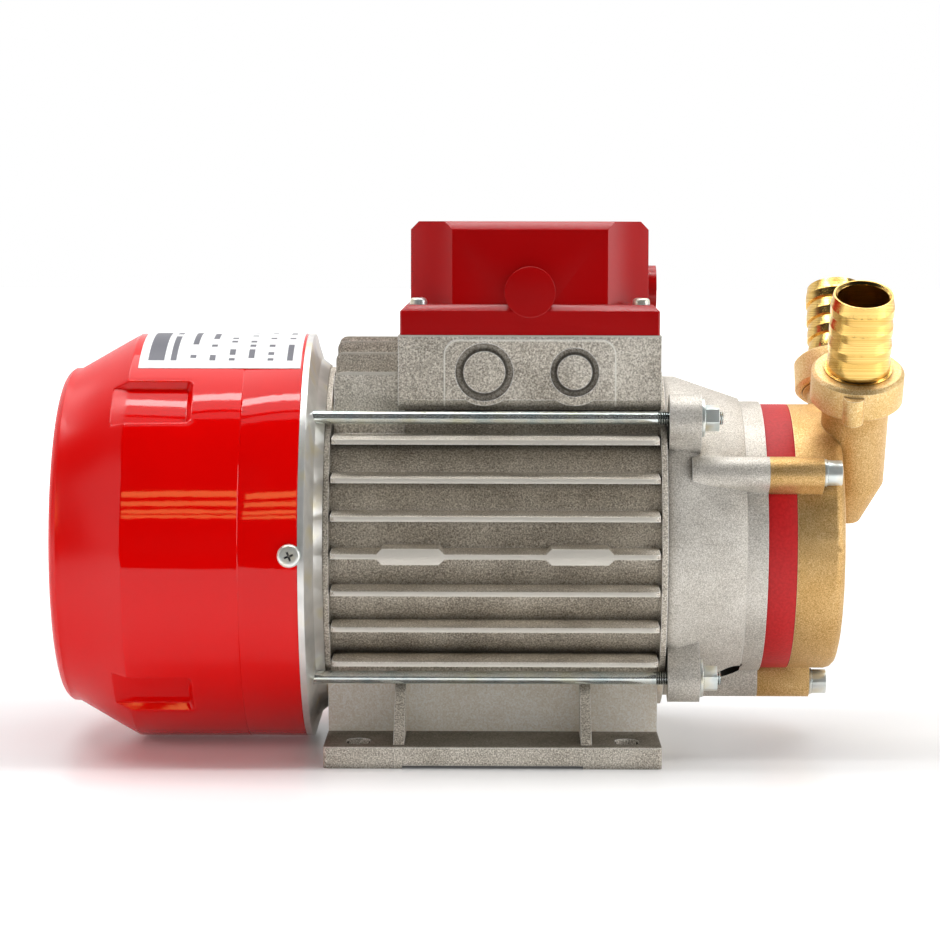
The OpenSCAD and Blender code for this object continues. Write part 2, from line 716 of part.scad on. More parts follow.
module front_shield() {
    hub_r = brg_r + hub_wall;
    color("#aca79f") difference() {
        union() {
            turned([[bore_r - spigot_t, front_x - spigot_len], [bore_r - run_gap, front_x - spigot_len],
                [bore_r - run_gap, front_x], [shield_back_r, front_x],
                [shield_back_r, front_x + shield_flange_t],
                [shield_front_r, shield_end_x - rim_len - rim_chamfer], [rim_r, shield_end_x - rim_len],
                [rim_r, shield_end_x], [lantern_r, shield_end_x], [lantern_r, web_x + web_front_t],
                [web_hole_r, web_x + web_front_t], [web_hole_r, web_x],
                [pitch_r + race_land, web_x], [pitch_r + race_land, front_brg_x + brg_w],
                [brg_r + seat_gap, front_brg_x + brg_w], [brg_r + seat_gap, front_brg_x],
                [hub_r, front_brg_x], [hub_r, web_x], [bore_r - spigot_t, web_x]]);
            for (a = rod_angles) radial(a) {
                translate([0, 0, rod_circle_r]) bar_x(ear_r, front_x + ear_in, ear_end_x);
                translate([front_x + ear_in, -ear_r, ear_root])
                    cube([ear_len, 2 * ear_r, rod_circle_r - ear_root]);
            }
            for (a = bolt_angles) radial(a) {
                translate([0, 0, bolt_circle_r]) bar_x(boss_r, shield_end_x - boss_len, shield_end_x);
                translate([shield_end_x - boss_len, -boss_r, boss_root])
                    cube([boss_len, 2 * boss_r, bolt_circle_r - boss_root]);
            }
        }
        for (a = rod_angles) radial(a) translate([0, 0, rod_circle_r])
            bar_x(rod_r + hole_gap, front_x, ear_end_x + over);
        for (a = bolt_angles) radial(a) translate([0, 0, bolt_circle_r])
            bar_x(bolt_r + seat_gap, brass_ear_end + bolt_washer_t - bolt_len - over, shield_end_x + over);
        for (a = drain_angles) radial(a) translate([shield_end_x - drain_back, 0, 0])
            post(drain_r, lantern_r - over, shield_back_r + over);
        ring_x(boss_root - over, bore_r - spigot_t, front_x - spigot_len - over, web_x);
    }
}

// Four long tie rods clamp both shields to the housing
module on_rods() { for (a = rod_angles) radial(a) translate([0, 0, rod_circle_r]) children(); }

module tie_rods() {
    color("#b9bcae") on_rods() {
        bar_x(rod_r, mouth_x - rod_head_t / 2, ear_end_x + rod_washer_t + rod_nut_t + rod_past);
        translate([mouth_x - rod_head_t, 0, 0]) rotate([0, 90, 0])
            cylinder(r = rod_head_r, h = rod_head_t, $fn = 6);
    }
}

module tie_rod_washers() {
    color("#c6c8bf") on_rods() difference() {
        bar_x(rod_washer_r, ear_end_x, ear_end_x + rod_washer_t);
        bar_x(rod_r + hole_gap, ear_end_x - over, ear_end_x + rod_washer_t + over);
    }
}

module tie_rod_nuts() {
    x0 = ear_end_x + rod_washer_t;
    color("#bfc2b8") on_rods() difference() {
        translate([x0, 0, 0]) rotate([0, 90, 0]) cylinder(r = rod_nut_r, h = rod_nut_t, $fn = 6);
        bar_x(rod_r + seat_gap, x0 - over, x0 + rod_nut_t + over);
    }
}

// Terminal box lid: flange, raised octagon with slanted corners, and two round bosses
lid_in = 0.6;
lid_flange_chamfer = 2.2;
lid_top_chamfer = 2.8;
lid_side_in = 3.5;
lid_front_in = 2.6;
lid_boss_r = 8.5;
lid_boss_rise = 4.3;
lid_boss_past = 0.6;
lid_screw_head_r = 3.5;
lid_screw_head_h = 2.3;
lid_z = box_top_z + lid_flange_h;
lid_top_z = lid_z + lid_rise;
lid_in_x = box_len / 2 - lid_side_in - lid_in / 2 - lid_t;
lid_in_y = box_w / 2 - lid_front_in - lid_in / 2 - lid_t;

// Capacitor and terminal block, which stand on cast pads in the box and fit under the lid
clamp_t = 1.6;
clamp_len = 20;
clamp_base_w = 22;
cap_share = 0.39;
cap_mid_gap = 2;
cap_end_gap = 1.5;
cap_rise = 3;
cap_r = lid_in_y * cap_share;
cap_y = -cap_mid_gap - cap_r;
cap_z = pad_z + cap_r + cap_rise;
cap_reach = lid_in_x + lid_in_y - lid_corner + cap_y - cap_r - cap_end_gap;
cap_len = 2 * (cap_reach - clamp_t);
block_len = 50;
block_w = 22;
block_h = 9;
block_y = 18;
stud_r = 2;
stud_pitch = 15;
stud_row = 10;
stud_rise = 9;
stud_nut_r = 4;
stud_nut_t = 3.2;

function slab_points(half, z0, z1, c) = [[-half, z0], [half, z0], [half, z1 - c], [half - c, z1],
    [c - half, z1], [-half, z1 - c]];

module lid_form(half_x, half_y, corner, z0, z1, chamfer) {
    intersection() {
        on_box(z0) linear_extrude(z1 - z0) polygon([
            [-half_x, corner - half_y], [corner - half_x, -half_y], [half_x - corner, -half_y],
            [half_x, corner - half_y], [half_x, half_y - corner], [half_x - corner, half_y],
            [corner - half_x, half_y], [-half_x, half_y - corner]]);
        ext_x(box_ahead - half_x, box_ahead + half_x) polygon(slab_points(half_y, z0, z1, chamfer));
        translate([box_ahead, half_y, 0]) rotate([90, 0, 0]) linear_extrude(2 * half_y)
            polygon(slab_points(half_x, z0, z1, chamfer));
    }
}

module box_lid() {
    upper_x = box_len / 2 - lid_side_in - lid_in / 2;
    upper_y = box_w / 2 - lid_front_in - lid_in / 2;
    flange_x = box_len / 2 - lid_in;
    flange_y = box_w / 2 - lid_in / 2;
    boss_z = lid_z + lid_boss_rise;
    color("#c81a1d") difference() {
        union() {
            lid_form(upper_x, upper_y, lid_corner, box_top_z + lid_t, lid_top_z, lid_top_chamfer);
            lid_form(flange_x, flange_y, lid_in, box_top_z, lid_z, lid_flange_chamfer);
            translate([box_ahead, -upper_y + lid_t, boss_z]) rotate([90, 0, 0])
                cylinder(r = lid_boss_r, h = flange_y - upper_y + lid_t + lid_boss_past);
            translate([box_ahead + upper_x - lid_t, 0, boss_z]) rotate([0, 90, 0])
                cylinder(r = lid_boss_r, h = flange_x - upper_x + lid_t + lid_boss_past);
        }
        lid_form(upper_x - lid_t, upper_y - lid_t, lid_corner, box_top_z - over, lid_top_z - lid_t,
            lid_top_chamfer);
        lid_screw_places() post(lid_screw_r + hole_gap, box_top_z - over, lid_z + over);
    }
}

module lid_screws() {
    color("#cdd0c9") lid_screw_places() translate([0, 0, lid_z])
        pan_screw(lid_screw_r, lid_flange_h + lid_screw_len - over, lid_screw_head_r, lid_screw_head_h);
}

module lid_gasket() {
    color("#2a2a2a") translate([box_ahead, 0, box_top_z - gasket_t])
        linear_extrude(gasket_t) gasket_outline(0);
}

module capacitor() {
    end_r = cap_r - clamp_t;
    color("#d9d9d6") translate([box_ahead - cap_len / 2, cap_y, cap_z]) {
        bar_x(cap_r, 0, cap_len);
        bar_x(end_r, 0, cap_len + clamp_t);
    }
}

module capacitor_clamp() {
    color("#a9acae") difference() {
        union() {
            on_box(cap_z) translate([-clamp_len / 2, cap_y, 0]) bar_x(cap_r + clamp_t, 0, clamp_len);
            on_box(pad_z) translate([-clamp_len / 2, cap_y - clamp_base_w / 2, 0])
                cube([clamp_len, clamp_base_w, cap_z - pad_z]);
        }
        on_box(cap_z) translate([-clamp_len / 2, cap_y, 0]) bar_x(cap_r + seat_gap, -over, clamp_len + over);
    }
}

module stud_places() {
    for (x = [-1:1], y = [-1, 1]) on_box(pad_z)
        translate([x * stud_pitch, block_y + y * stud_row / 2, 0]) children();
}

module terminal_block() {
    color("#3a2c22") difference() {
        on_box(pad_z) translate([-block_len / 2, block_y - block_w / 2, 0])
            cube([block_len, block_w, block_h]);
        stud_places() post(stud_r + seat_gap, block_h / 2, block_h + over);
    }
}

module terminal_studs() {
    color("#c8a04a") stud_places() {
        post(stud_r, block_h / 2, block_h + stud_rise);
        translate([0, 0, block_h]) cylinder(r = stud_nut_r, h = stud_nut_t, $fn = 6);
    }
}

// Shaft seal and slinger between the motor and the pump
slinger_t = 2;
slinger_r = 12;
seat_r = 13;
seat_bore_gap = 0.7;
face_len = 3;
face_r = 11.5;
bellows_t = 1.9;
bellows_flange = 1;
wire_r = 0.7;
spring_r = 9.8;
spring_turns = 4;
chamber_r = 16;
ring_hub_wall = 5.5;
face_x = seat_x + seat_len;
bellows_x = face_x + face_len;
ring_spigot_len = 3;
ring_spigot_t = 6;
groove_r = 41.2;
groove_w = 2;
groove_depth = 1.4;

module slinger() {
    mid = (web_x + web_front_t + shield_end_x - ring_hub_back) / 2;
    color("#222222") ring_x(seal_seat_r + seat_gap, slinger_r, mid - slinger_t / 2, mid + slinger_t / 2);
}

module pump_ring() {
    hub_x = shield_end_x - ring_hub_back;
    hub_out = seat_r + ring_hub_wall;
    color("#c4161c") difference() {
        turned([[web_hole_r, hub_x], [hub_out, hub_x], [hub_out, shield_end_x],
            [lantern_r - ring_spigot_t, shield_end_x],
            [lantern_r - ring_spigot_t, shield_end_x - ring_spigot_len],
            [lantern_r - run_gap, shield_end_x - ring_spigot_len], [lantern_r - run_gap, shield_end_x],
            [head_r, shield_end_x], [head_r, ring_end_x], [chamber_r, ring_end_x], [chamber_r, face_x],
            [seat_r + seat_gap, face_x], [seat_r + seat_gap, seat_x], [web_hole_r, seat_x]]);
        ring_x(groove_r, groove_r + groove_w, ring_end_x - groove_depth, ring_end_x + over);
    }
}

module seal_seat() {
    color("#e6e2d8") ring_x(seal_seat_r + seat_bore_gap, seat_r, seat_x, face_x - seat_gap);
}

module seal_face() { color("#2f3033") ring_x(seal_seat_r + seat_gap, face_r, face_x, bellows_x); }

module seal_bellows() {
    r0 = seal_seat_r + seat_gap;
    color("#1f1f21") turned([[r0, bellows_x], [r0 + bellows_t, bellows_x],
        [r0 + bellows_t, impeller_hub_x - bellows_flange], [face_r, impeller_hub_x - bellows_flange],
        [face_r, impeller_hub_x], [r0, impeller_hub_x]]);
}

// A coil of round wire as one swept tube
coil_steps = 16;
coil_sides = 6;
function coil_point(i, j, x0, x1) = let (
        t = i / (spring_turns * coil_steps), a = 360 * i / coil_steps, b = 360 * j / coil_sides,
        r = spring_r + wire_r * cos(b)) [x0 + (x1 - x0) * t + wire_r * sin(b), r * cos(a), r * sin(a)];

module seal_spring() {
    n = spring_turns * coil_steps;
    x0 = bellows_x + wire_r + seat_gap;
    x1 = impeller_hub_x - bellows_flange - wire_r - seat_gap;
    points = [for (i = [0:n], j = [0:coil_sides - 1]) coil_point(i, j, x0, x1)];
    sides = [for (i = [0:n - 1], j = [0:coil_sides - 1]) let (k = (j + 1) % coil_sides)
        [i * coil_sides + j, i * coil_sides + k, (i + 1) * coil_sides + k, (i + 1) * coil_sides + j]];
    start = [for (j = [coil_sides - 1:-1:0]) j];
    finish = [for (j = [0:coil_sides - 1]) n * coil_sides + j];
    color("#b9bdc2") on_axis() polyhedron(points, concat(sides, [start, finish]));
}

// Impeller, its key and its clip
key_w = 3;
key_in = 1.5;
key_out = 1.4;
impeller_hub_r = 12;
vane_t = 3;
vane_web_t = 2.4;
vane_web_share = 0.8;

module key_block(grow) {
    radial(90) translate([impeller_back_x + over - grow, -key_w / 2 - grow, impeller_seat_r - key_in - grow])
        cube([impeller_w - 2 * over + 2 * grow, key_w + 2 * grow, key_in + key_out + 2 * grow]);
}

module impeller() {
    mid = (impeller_back_x + impeller_front_x) / 2;
    color("#b98a3e") difference() {
        union() {
            ring_x(impeller_seat_r + seat_gap, impeller_hub_r, impeller_hub_x, impeller_front_x);
            ring_x(impeller_hub_r - over, impeller_r * vane_web_share,
                mid - vane_web_t / 2, mid + vane_web_t / 2);
            for (i = [0:vane_count - 1]) radial(i * 360 / vane_count)
                translate([impeller_back_x, -vane_t / 2, impeller_hub_r - over])
                    cube([impeller_w, vane_t, impeller_r - impeller_hub_r + over]);
        }
        key_block(seat_gap);
    }
}

module impeller_key() { color("#9a9da1") key_block(0); }

module impeller_clip() {
    r = impeller_seat_r - clip_groove;
    color("#5d6064") ring_x(r + seat_gap, r + clip_out, impeller_front_x, impeller_front_x + clip_t);
}

module head_o_ring() {
    color("#1c1c1e") on_axis() translate([ring_end_x - groove_depth / 2, 0, 0]) rotate([0, 90, 0])
        rotate_extrude() translate([groove_r + groove_w / 2, 0]) circle(r = groove_depth / 2, $fn = 32);
}

// Brass pump head with both port pipes
head_round = 3.6;
head_round_steps = 3;
cavity_gap = 0.5;
clip_recess_r = 9;
thread_r = 13.2;
thread_len = 8;
pipe_bore_r = 8;
pipe_end = 24;
pipe_tip = 8;
pipe_tip_r = 4.5;
pipe_floor = 20;
window_r = 5.5;
window_at = 28;
gasket_h = 1;
tail_flange_t = 2;
nut_lip_t = 1.6;
neck_r = 11.5;
neck_over = 0.5;
nut_top = port_reach - tail_len - neck_over;
flange_top = nut_top - nut_lip_t - run_gap;
port_top = flange_top - tail_flange_t - gasket_h;
nut_bottom = nut_top - nut_h;
cavity_front_x = impeller_front_x + cavity_gap;
clip_recess_x = nose_x + cavity_gap;

module port_pipe(side) {
    on_port(side) {
        post(port_r, pipe_end, port_top);
        translate([0, 0, pipe_tip]) cylinder(r1 = pipe_tip_r, r2 = port_r, h = pipe_end - pipe_tip);
        post(thread_r, port_top - thread_len, port_top);
    }
}

module pump_head() {
    front = [for (i = [0:head_round_steps]) let (a = 90 * i / head_round_steps)
        [head_r - head_round + head_round * cos(a), head_end_x - head_round + head_round * sin(a)]];
    cavity_r = impeller_r + cavity_gap;
    color("#a97a33") difference() {
        union() {
            turned(concat([[0, ring_end_x], [head_r, ring_end_x]], front, [[0, head_end_x]]));
            difference() {
                for (a = bolt_angles) radial(a) {
                    translate([0, 0, bolt_circle_r]) bar_x(boss_r, brass_ear_x, brass_ear_end);
                    translate([brass_ear_x, -boss_r, boss_root])
                        cube([brass_ear_len, 2 * boss_r, bolt_circle_r - boss_root]);
                }
                on_axis() bar_x(head_r + run_gap, shield_end_x - over, ring_end_x);
            }
            for (side = [-1, 1]) port_pipe(side);
        }
        on_axis() bar_x(cavity_r, ring_end_x - over, cavity_front_x);
        on_axis() bar_x(clip_recess_r, ring_end_x, clip_recess_x);
        for (a = bolt_angles) radial(a) translate([0, 0, bolt_circle_r])
            bar_x(bolt_r + hole_gap, shield_end_x - over, brass_ear_end + over);
        for (side = [-1, 1]) on_port(side) {
            post(pipe_bore_r, pipe_floor, port_top + over);
            translate([0, 0, window_at]) bar_x(window_r, cavity_front_x - over - port_x, 0);
        }
    }
}

module on_bolts() { for (a = bolt_angles) radial(a) translate([0, 0, bolt_circle_r]) children(); }

module pump_bolts() {
    under_head = brass_ear_end + bolt_washer_t;
    color("#c4c7c9") on_bolts() difference() {
        union() {
            bar_x(bolt_r, under_head - bolt_len, under_head + bolt_head_h / 2);
            bar_x(bolt_head_r, under_head, under_head + bolt_head_h);
        }
        translate([under_head + bolt_head_h - bolt_socket_depth, 0, 0]) rotate([0, 90, 0])
            cylinder(r = bolt_socket_r, h = bolt_head_h, $fn = 6);
    }
}

module pump_bolt_washers() {
    color("#b4b7b9") on_bolts() difference() {
        bar_x(bolt_washer_r, brass_ear_end, brass_ear_end + bolt_washer_t);
        bar_x(bolt_r + hole_gap, brass_ear_end - over, brass_ear_end + bolt_washer_t + over);
    }
}

// Hose tails with ring nuts, the same on both ports
rib_count = 4;
rib_rise = 0.75;
rib_land = 3;
mouth_chamfer = 0.9;
lug_r = 3.55;
lug_h_share = 0.8;
lug_out = 0.6;
lug_turn = 10;
nut_chamfer = 1.2;

module tail_gasket(side) {
    color("#3b2a24") on_port(side) difference() {
        post(thread_r - rib_rise, port_top, port_top + gasket_h);
        post(tail_bore_r, port_top - over, port_top + gasket_h + over);
    }
}

module hose_tail(side) {
    core_r = tail_r - rib_rise;
    pitch = tail_len / rib_count;
    ribs = [for (i = [0:rib_count - 1], p = [0:2]) let (z0 = port_reach - tail_len + i * pitch)
        p == 0 ? [tail_r, z0] : p == 1 ? [tail_r, z0 + rib_land] : [core_r, z0 + pitch]];
    color("#d9b36b") on_port(side) rotate_extrude() polygon(concat(
        [[tail_bore_r, port_top + gasket_h], [thread_r - hole_gap, port_top + gasket_h],
            [thread_r - hole_gap, flange_top], [neck_r, flange_top],
            [neck_r, port_reach - tail_len]], ribs,
        [[tail_bore_r + mouth_chamfer, port_reach], [tail_bore_r, port_reach - mouth_chamfer]]));
}

module ring_nut(side) {
    c = nut_chamfer;
    color("#c6a263") on_port(side) difference() {
        union() {
            rotate_extrude() polygon([[0, nut_bottom], [nut_r - c, nut_bottom], [nut_r, nut_bottom + c],
                [nut_r, nut_top - c], [nut_r - c, nut_top], [0, nut_top]]);
            for (a = [0, 180]) rotate([0, 0, a - side * lug_turn]) translate([0, nut_r - lug_out, nut_bottom])
                cylinder(r = lug_r, h = nut_h * lug_h_share);
        }
        post(thread_r + hole_gap, nut_bottom - over, nut_top - nut_lip_t);
        post(neck_r + run_gap, nut_bottom - over, nut_top + over);
    }
}

fan_cover();
fan_cover_screws();
rating_label();
rear_shield();
stator_housing();
stator_core();
stator_windings();
rotor_core();
rotor_end_rings();
shaft();
bearing_outer(rear_brg_x);  // rear_bearing_outer
bearing_inner(rear_brg_x);  // rear_bearing_inner
bearing_cage(rear_brg_x);  // rear_bearing_cage
color("#c9ccd0") balls(rear_brg_x, ball_r);  // rear_bearing_balls
bearing_outer(front_brg_x);  // front_bearing_outer
bearing_inner(front_brg_x);  // front_bearing_inner
bearing_cage(front_brg_x);  // front_bearing_cage
color("#c9ccd0") balls(front_brg_x, ball_r);  // front_bearing_balls
preload_washer();
cooling_fan();
fan_clip();
front_shield();
tie_rods();
tie_rod_washers();
tie_rod_nuts();
box_lid();
lid_screws();
lid_gasket();
capacitor();
capacitor_clamp();
terminal_block();
terminal_studs();
slinger();
pump_ring();
seal_seat();
seal_face();
seal_spring();
seal_bellows();
impeller();
impeller_key();
impeller_clip();
head_o_ring();
pump_head();
pump_bolts();
pump_bolt_washers();
tail_gasket(1);  // suction_gasket
hose_tail(1);  // suction_tail
ring_nut(1);  // suction_nut
tail_gasket(-1);  // delivery_gasket
hose_tail(-1);  // delivery_tail
ring_nut(-1);  // delivery_nut
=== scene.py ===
# Electric pump: a foot-mounted motor in cast aluminium and red plastic that drives a brass pump head.
# X runs along the shaft towards the pump, Z is up, and the feet stand on Z = 0.
from math import atan2, cos, hypot, pi, radians, sin

import bmesh
import bpy
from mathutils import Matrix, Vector


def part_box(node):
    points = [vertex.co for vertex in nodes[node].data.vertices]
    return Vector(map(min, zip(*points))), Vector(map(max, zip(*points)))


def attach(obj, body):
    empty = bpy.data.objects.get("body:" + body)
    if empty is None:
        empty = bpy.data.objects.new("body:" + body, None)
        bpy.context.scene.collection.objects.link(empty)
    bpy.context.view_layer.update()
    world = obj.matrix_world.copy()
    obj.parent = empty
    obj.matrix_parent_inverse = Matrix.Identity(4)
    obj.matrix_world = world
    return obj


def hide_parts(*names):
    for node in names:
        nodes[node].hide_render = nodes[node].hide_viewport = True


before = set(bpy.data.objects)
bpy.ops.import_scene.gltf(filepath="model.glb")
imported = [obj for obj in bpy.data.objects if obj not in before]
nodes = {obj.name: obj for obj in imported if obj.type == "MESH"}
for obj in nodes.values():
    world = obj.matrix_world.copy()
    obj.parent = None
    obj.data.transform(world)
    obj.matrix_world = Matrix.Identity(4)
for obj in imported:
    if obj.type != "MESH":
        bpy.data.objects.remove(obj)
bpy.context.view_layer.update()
scene = bpy.context.scene
scene.view_settings.view_transform = "Standard"

# Camera: a long lens a little over a metre away and slightly above the motor, level with the shaft
# to half a degree.
bpy.ops.object.camera_add(location=(0.0012, -1.0667, 0.1791), rotation=(1.49108, -0.00198, 0.0090))
camera = bpy.context.object
camera.data.sensor_width = 36
camera.data.lens = 116.57
camera.data.clip_start = 0.01
scene.camera = camera


# Studio: a sheet of white paper under the pump, white all round behind it, and a dark room in front,
# which only the glossy parts mirror. A softbox with one bright tube hangs overhead, panels stand at
# the sides, and evening light comes through the slats of a blind behind the camera.
def linear(code):
    """An sRGB hex colour as the linear colour that the nodes take."""
    parts = [int(code[i:i + 2], 16) / 255 for i in (1, 3, 5)]
    return [p / 12.92 if p <= 0.04045 else ((p + 0.055) / 1.055) ** 2.4 for p in parts] + [1]


def join(tree, node, inputs):
    """Sets or links a node's inputs. A node given as a value is linked from its first output."""
    for name, value in inputs.items():
        if isinstance(value, bpy.types.Node):
            value = value.outputs[0]
        if isinstance(value, bpy.types.NodeSocket):
            tree.links.new(value, node.inputs[name])
        else:
            node.inputs[name].default_value = value


def add(tree, kind, inputs=None, stops=None, **settings):
    """Adds a node with its settings, colour stops and inputs."""
    made = tree.nodes.new("ShaderNode" + kind)
    for name, value in settings.items():
        setattr(made, name, value)
    for index, (place, code) in enumerate(stops or []):
        if index >= len(made.color_ramp.elements):
            made.color_ramp.elements.new(place)
        made.color_ramp.elements[index].position = place
        made.color_ramp.elements[index].color = linear(code)
    join(tree, made, inputs or {})
    return made


world = bpy.data.worlds.new("studio")
world.use_nodes = True
scene.world = world
tree = world.node_tree
way = add(tree, "SeparateXYZ", {"Vector": add(tree, "TexCoord").outputs["Generated"]})
behind = add(tree, "MapRange", {"Value": way.outputs["Y"], "From Min": -0.1, "From Max": 0.45})
sky = add(tree, "ValToRGB", {"Fac": behind}, stops=[(0, "#101012"), (0.4, "#6e6e70"), (1, "#f4f4f4")])
seen = add(tree, "LightPath").outputs["Is Camera Ray"]
sky = add(tree, "MixRGB", {"Fac": seen, "Color1": sky, "Color2": linear("#ffffff")})
join(tree, tree.nodes["Background"], {"Color": sky, "Strength": 1.0})

# white paper: matte with a faint sheen. A painted glow turns it white away from the pump and a little
# in front of the feet, and the glow is weaker under the pump, a painted shadow.
paper_size = 8
paper_front_y = -0.34
glow_near, glow_far = 0.2, 0.9
feet_front_y, glow_front_y = -0.066, -0.11
paper = bpy.data.materials.new("white_paper")
paper.use_nodes = True
tree = paper.node_tree
on_paper = add(tree, "NewGeometry").outputs["Position"]
spread = add(tree, "VectorMath", {0: on_paper}, operation="LENGTH").outputs["Value"]
far = add(tree, "MapRange", {"Value": spread, "From Min": glow_near, "From Max": glow_far, "To Max": 0.84})
before = add(tree, "SeparateXYZ", {"Vector": on_paper}).outputs["Y"]
near = add(tree, "MapRange", {"Value": before, "From Min": feet_front_y, "From Max": glow_front_y,
                              "To Min": 0.05, "To Max": 0.3})
glow = add(tree, "Math", {0: far, 1: near}, operation="ADD")
join(tree, tree.nodes["Principled BSDF"],
     {"Base Color": linear("#ececec"), "Roughness": 0.3, "Emission Color": linear("#ffffff"),
      "Emission Strength": glow})
for name, middle_y in (("floor", paper_front_y + paper_size / 2),
                       ("floor_near_camera", paper_front_y - paper_size / 2)):
    bpy.ops.mesh.primitive_plane_add(size=paper_size, location=(0, middle_y, 0))
    floor = bpy.context.object
    floor.name = name
    floor.data.materials.append(paper)
# the half towards the camera is only seen, so that the glossy cover mirrors the dark room there
floor.visible_glossy = False
floor.visible_diffuse = False


def lamp(name, place, aim, wide, tall, radiance, code="#ffffff"):
    """A rectangular soft light that faces a point, given by its brightness, that no camera sees."""
    bpy.ops.object.light_add(type="AREA", location=place)
    light = bpy.context.object
    light.name = name
    light.rotation_euler = (Vector(aim) - Vector(place)).to_track_quat("-Z", "Y").to_euler()
    light.data.shape = "RECTANGLE"
    light.data.size = wide
    light.data.size_y = tall
    light.data.energy = radiance * pi * wide * tall
    light.data.color = linear(code)[:3]
    light.visible_camera = False
    return light


aim = (0, 0, 0.1)
lamp("softbox", (0, 0.23, 1.1), aim, 1.6, 0.95, 1.9)
lamp("softbox_edge", (0, -0.29, 1.09), aim, 1.6, 0.08, 1.0)
lamp("tube", (0, -0.05, 1.0), aim, 1.5, 0.075, 12)
lamp("side_right", (1.3, -0.35, 0.4), aim, 0.7, 0.8, 3.0)
lamp("side_left", (-1.3, -0.45, 0.4), aim, 0.7, 0.8, 0.9)
for side, radiance in ((0.95, 2.1), (-0.8, 1.8)):
    fill = lamp("fill_%d" % (100 * side), (side, -1.05, 0.7), aim, 0.6, 0.7, radiance)
    fill.visible_glossy = False
low_front = lamp("low_front", (0.05, -0.95, 0.06), (0.05, 0, 0.05), 0.9, 0.2, 1.5)
low_front.visible_glossy = False
blind_falls_on = bpy.data.collections.new("blind_falls_on")
for z, tall in ((0.91, 0.099), (0.729, 0.073), (0.589, 0.056), (0.506, 0.042)):
    slat = lamp("blind_%d" % (z * 100), (-0.1, -1.6, z), (-0.1, 0, 0.09), 1.8, tall, 7, "#ffc06f")
    slat.visible_diffuse = False
    slat.light_linking.receiver_collection = blind_falls_on

# Stator housing: one pressure die casting in aluminium, shot-blasted, with the fins, the feet and
# the lower half of the terminal box in one piece. Its fin tips carry a painted highlight, and the
# ends of the fins are rounded by the die.
MM = 0.001
AXIS_Z = 71 * MM
housing_low, housing_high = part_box("stator_housing")
fin_r = 69.8 * MM
fin_tip_t = 1.6 * MM
fin_inset = 3 * MM
fin_ends = (housing_low.x + fin_inset, housing_high.x - fin_inset)
fin_end_r = 2.6 * MM
box_rear_x = -32.1 * MM
box_face_y = -44 * MM
box_foot_z = 117.5 * MM
box_top_z = 142.8 * MM
# each knock-out's place along the box, and the radius where its groove begins
knock_outs = ((-3.1 * MM, 7.3 * MM), (27.3 * MM, 6.1 * MM))
knock_z = 130.4 * MM
panel_x, panel_z = 12.3 * MM, 120.5 * MM
panel_half_x, panel_half_z = 28.8 * MM, 20.5 * MM
panel_corner_r = 5 * MM
foot_t = 7 * MM
foot_edge_y = 69 * MM
foot_wall_y = 35 * MM
wall_lit_z = 24 * MM
housing_middle_x = 0.75 * MM
foot_slot_x, foot_slot_y = 45 * MM, 56 * MM
slot_shade_half = (6.8 * MM, 4.6 * MM, 6.5 * MM)


def choose(piece, kind, wanted):
    """In edit mode, selects only the edges or faces that a test accepts."""
    bpy.ops.mesh.select_mode(type=kind)
    bpy.ops.mesh.select_all(action="DESELECT")
    shape = bmesh.from_edit_mesh(piece.data)
    for part in (shape.edges if kind == "EDGE" else shape.faces):
        part.select_set(wanted(part if kind == "EDGE" else part.calc_center_median()))
    shape.select_flush_mode()
    bmesh.update_edit_mesh(piece.data)


def pick(piece):
    """Makes a piece the only one selected."""
    bpy.ops.object.select_all(action="DESELECT")
    bpy.context.view_layer.objects.active = piece
    piece.select_set(True)


def copy_of(model, name):
    """A copy with its own mesh, picked."""
    piece = model.copy()
    piece.data = model.data.copy()
    piece.name = name
    piece.parent = None
    scene.collection.objects.link(piece)
    pick(piece)
    return piece


def rounded(node_name, piece_name, body, radius, segments=2, crisp=40, moulded=None, mould_r=0):
    """A copy of a node's solid, merged, with its sharp edges rounded as casting or deburring does."""
    piece = copy_of(nodes[node_name], piece_name)
    bpy.ops.object.mode_set(mode="EDIT")
    bpy.ops.mesh.select_all(action="SELECT")
    bpy.ops.mesh.remove_doubles(threshold=0.005 * MM)
    bpy.ops.mesh.dissolve_limited(angle_limit=radians(0.5))
    if moulded:
        choose(piece, "EDGE", moulded)
        bpy.ops.mesh.bevel(offset=mould_r, segments=5, affect="EDGES")
    bpy.ops.object.mode_set(mode="OBJECT")
    trim = piece.modifiers.new("edges", "BEVEL")
    trim.width = radius
    trim.segments = segments
    trim.limit_method = "ANGLE"
    trim.angle_limit = radians(30)
    trim.use_clamp_overlap = True
    bpy.ops.object.modifier_apply(modifier=trim.name)
    bpy.ops.object.shade_smooth_by_angle(angle=radians(crisp))
    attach(piece, body)
    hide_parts(node_name)
    return piece


def material_of(name, **sockets):
    """A new material with constants on its shader, and the coordinates of the object it is on."""
    made = bpy.data.materials.new(name)
    made.use_nodes = True
    shader = made.node_tree.nodes["Principled BSDF"]
    for socket, value in sockets.items():
        shader.inputs[socket.replace("_", " ")].default_value = value
    return made, made.node_tree, shader, add(made.node_tree, "TexCoord").outputs["Object"]


def dress(piece, material):
    """Gives a piece or a CAD node its material in every slot."""
    if not piece.material_slots:
        piece.data.materials.append(material)
    for slot in piece.material_slots:
        slot.material = material


def fin_tip_end(edge):
    """Whether an edge is the short outer one at the end of a fin."""
    ends = [v.co for v in edge.verts]
    at_end = any(all(abs(p.x - x) < 0.05 * MM for p in ends) for x in fin_ends)
    at_tip = all(abs(hypot(p.y, p.z - AXIS_Z) - fin_r) < 1.2 * MM for p in ends)
    return at_end and at_tip and abs(edge.calc_length() - fin_tip_t) < 0.4 * MM


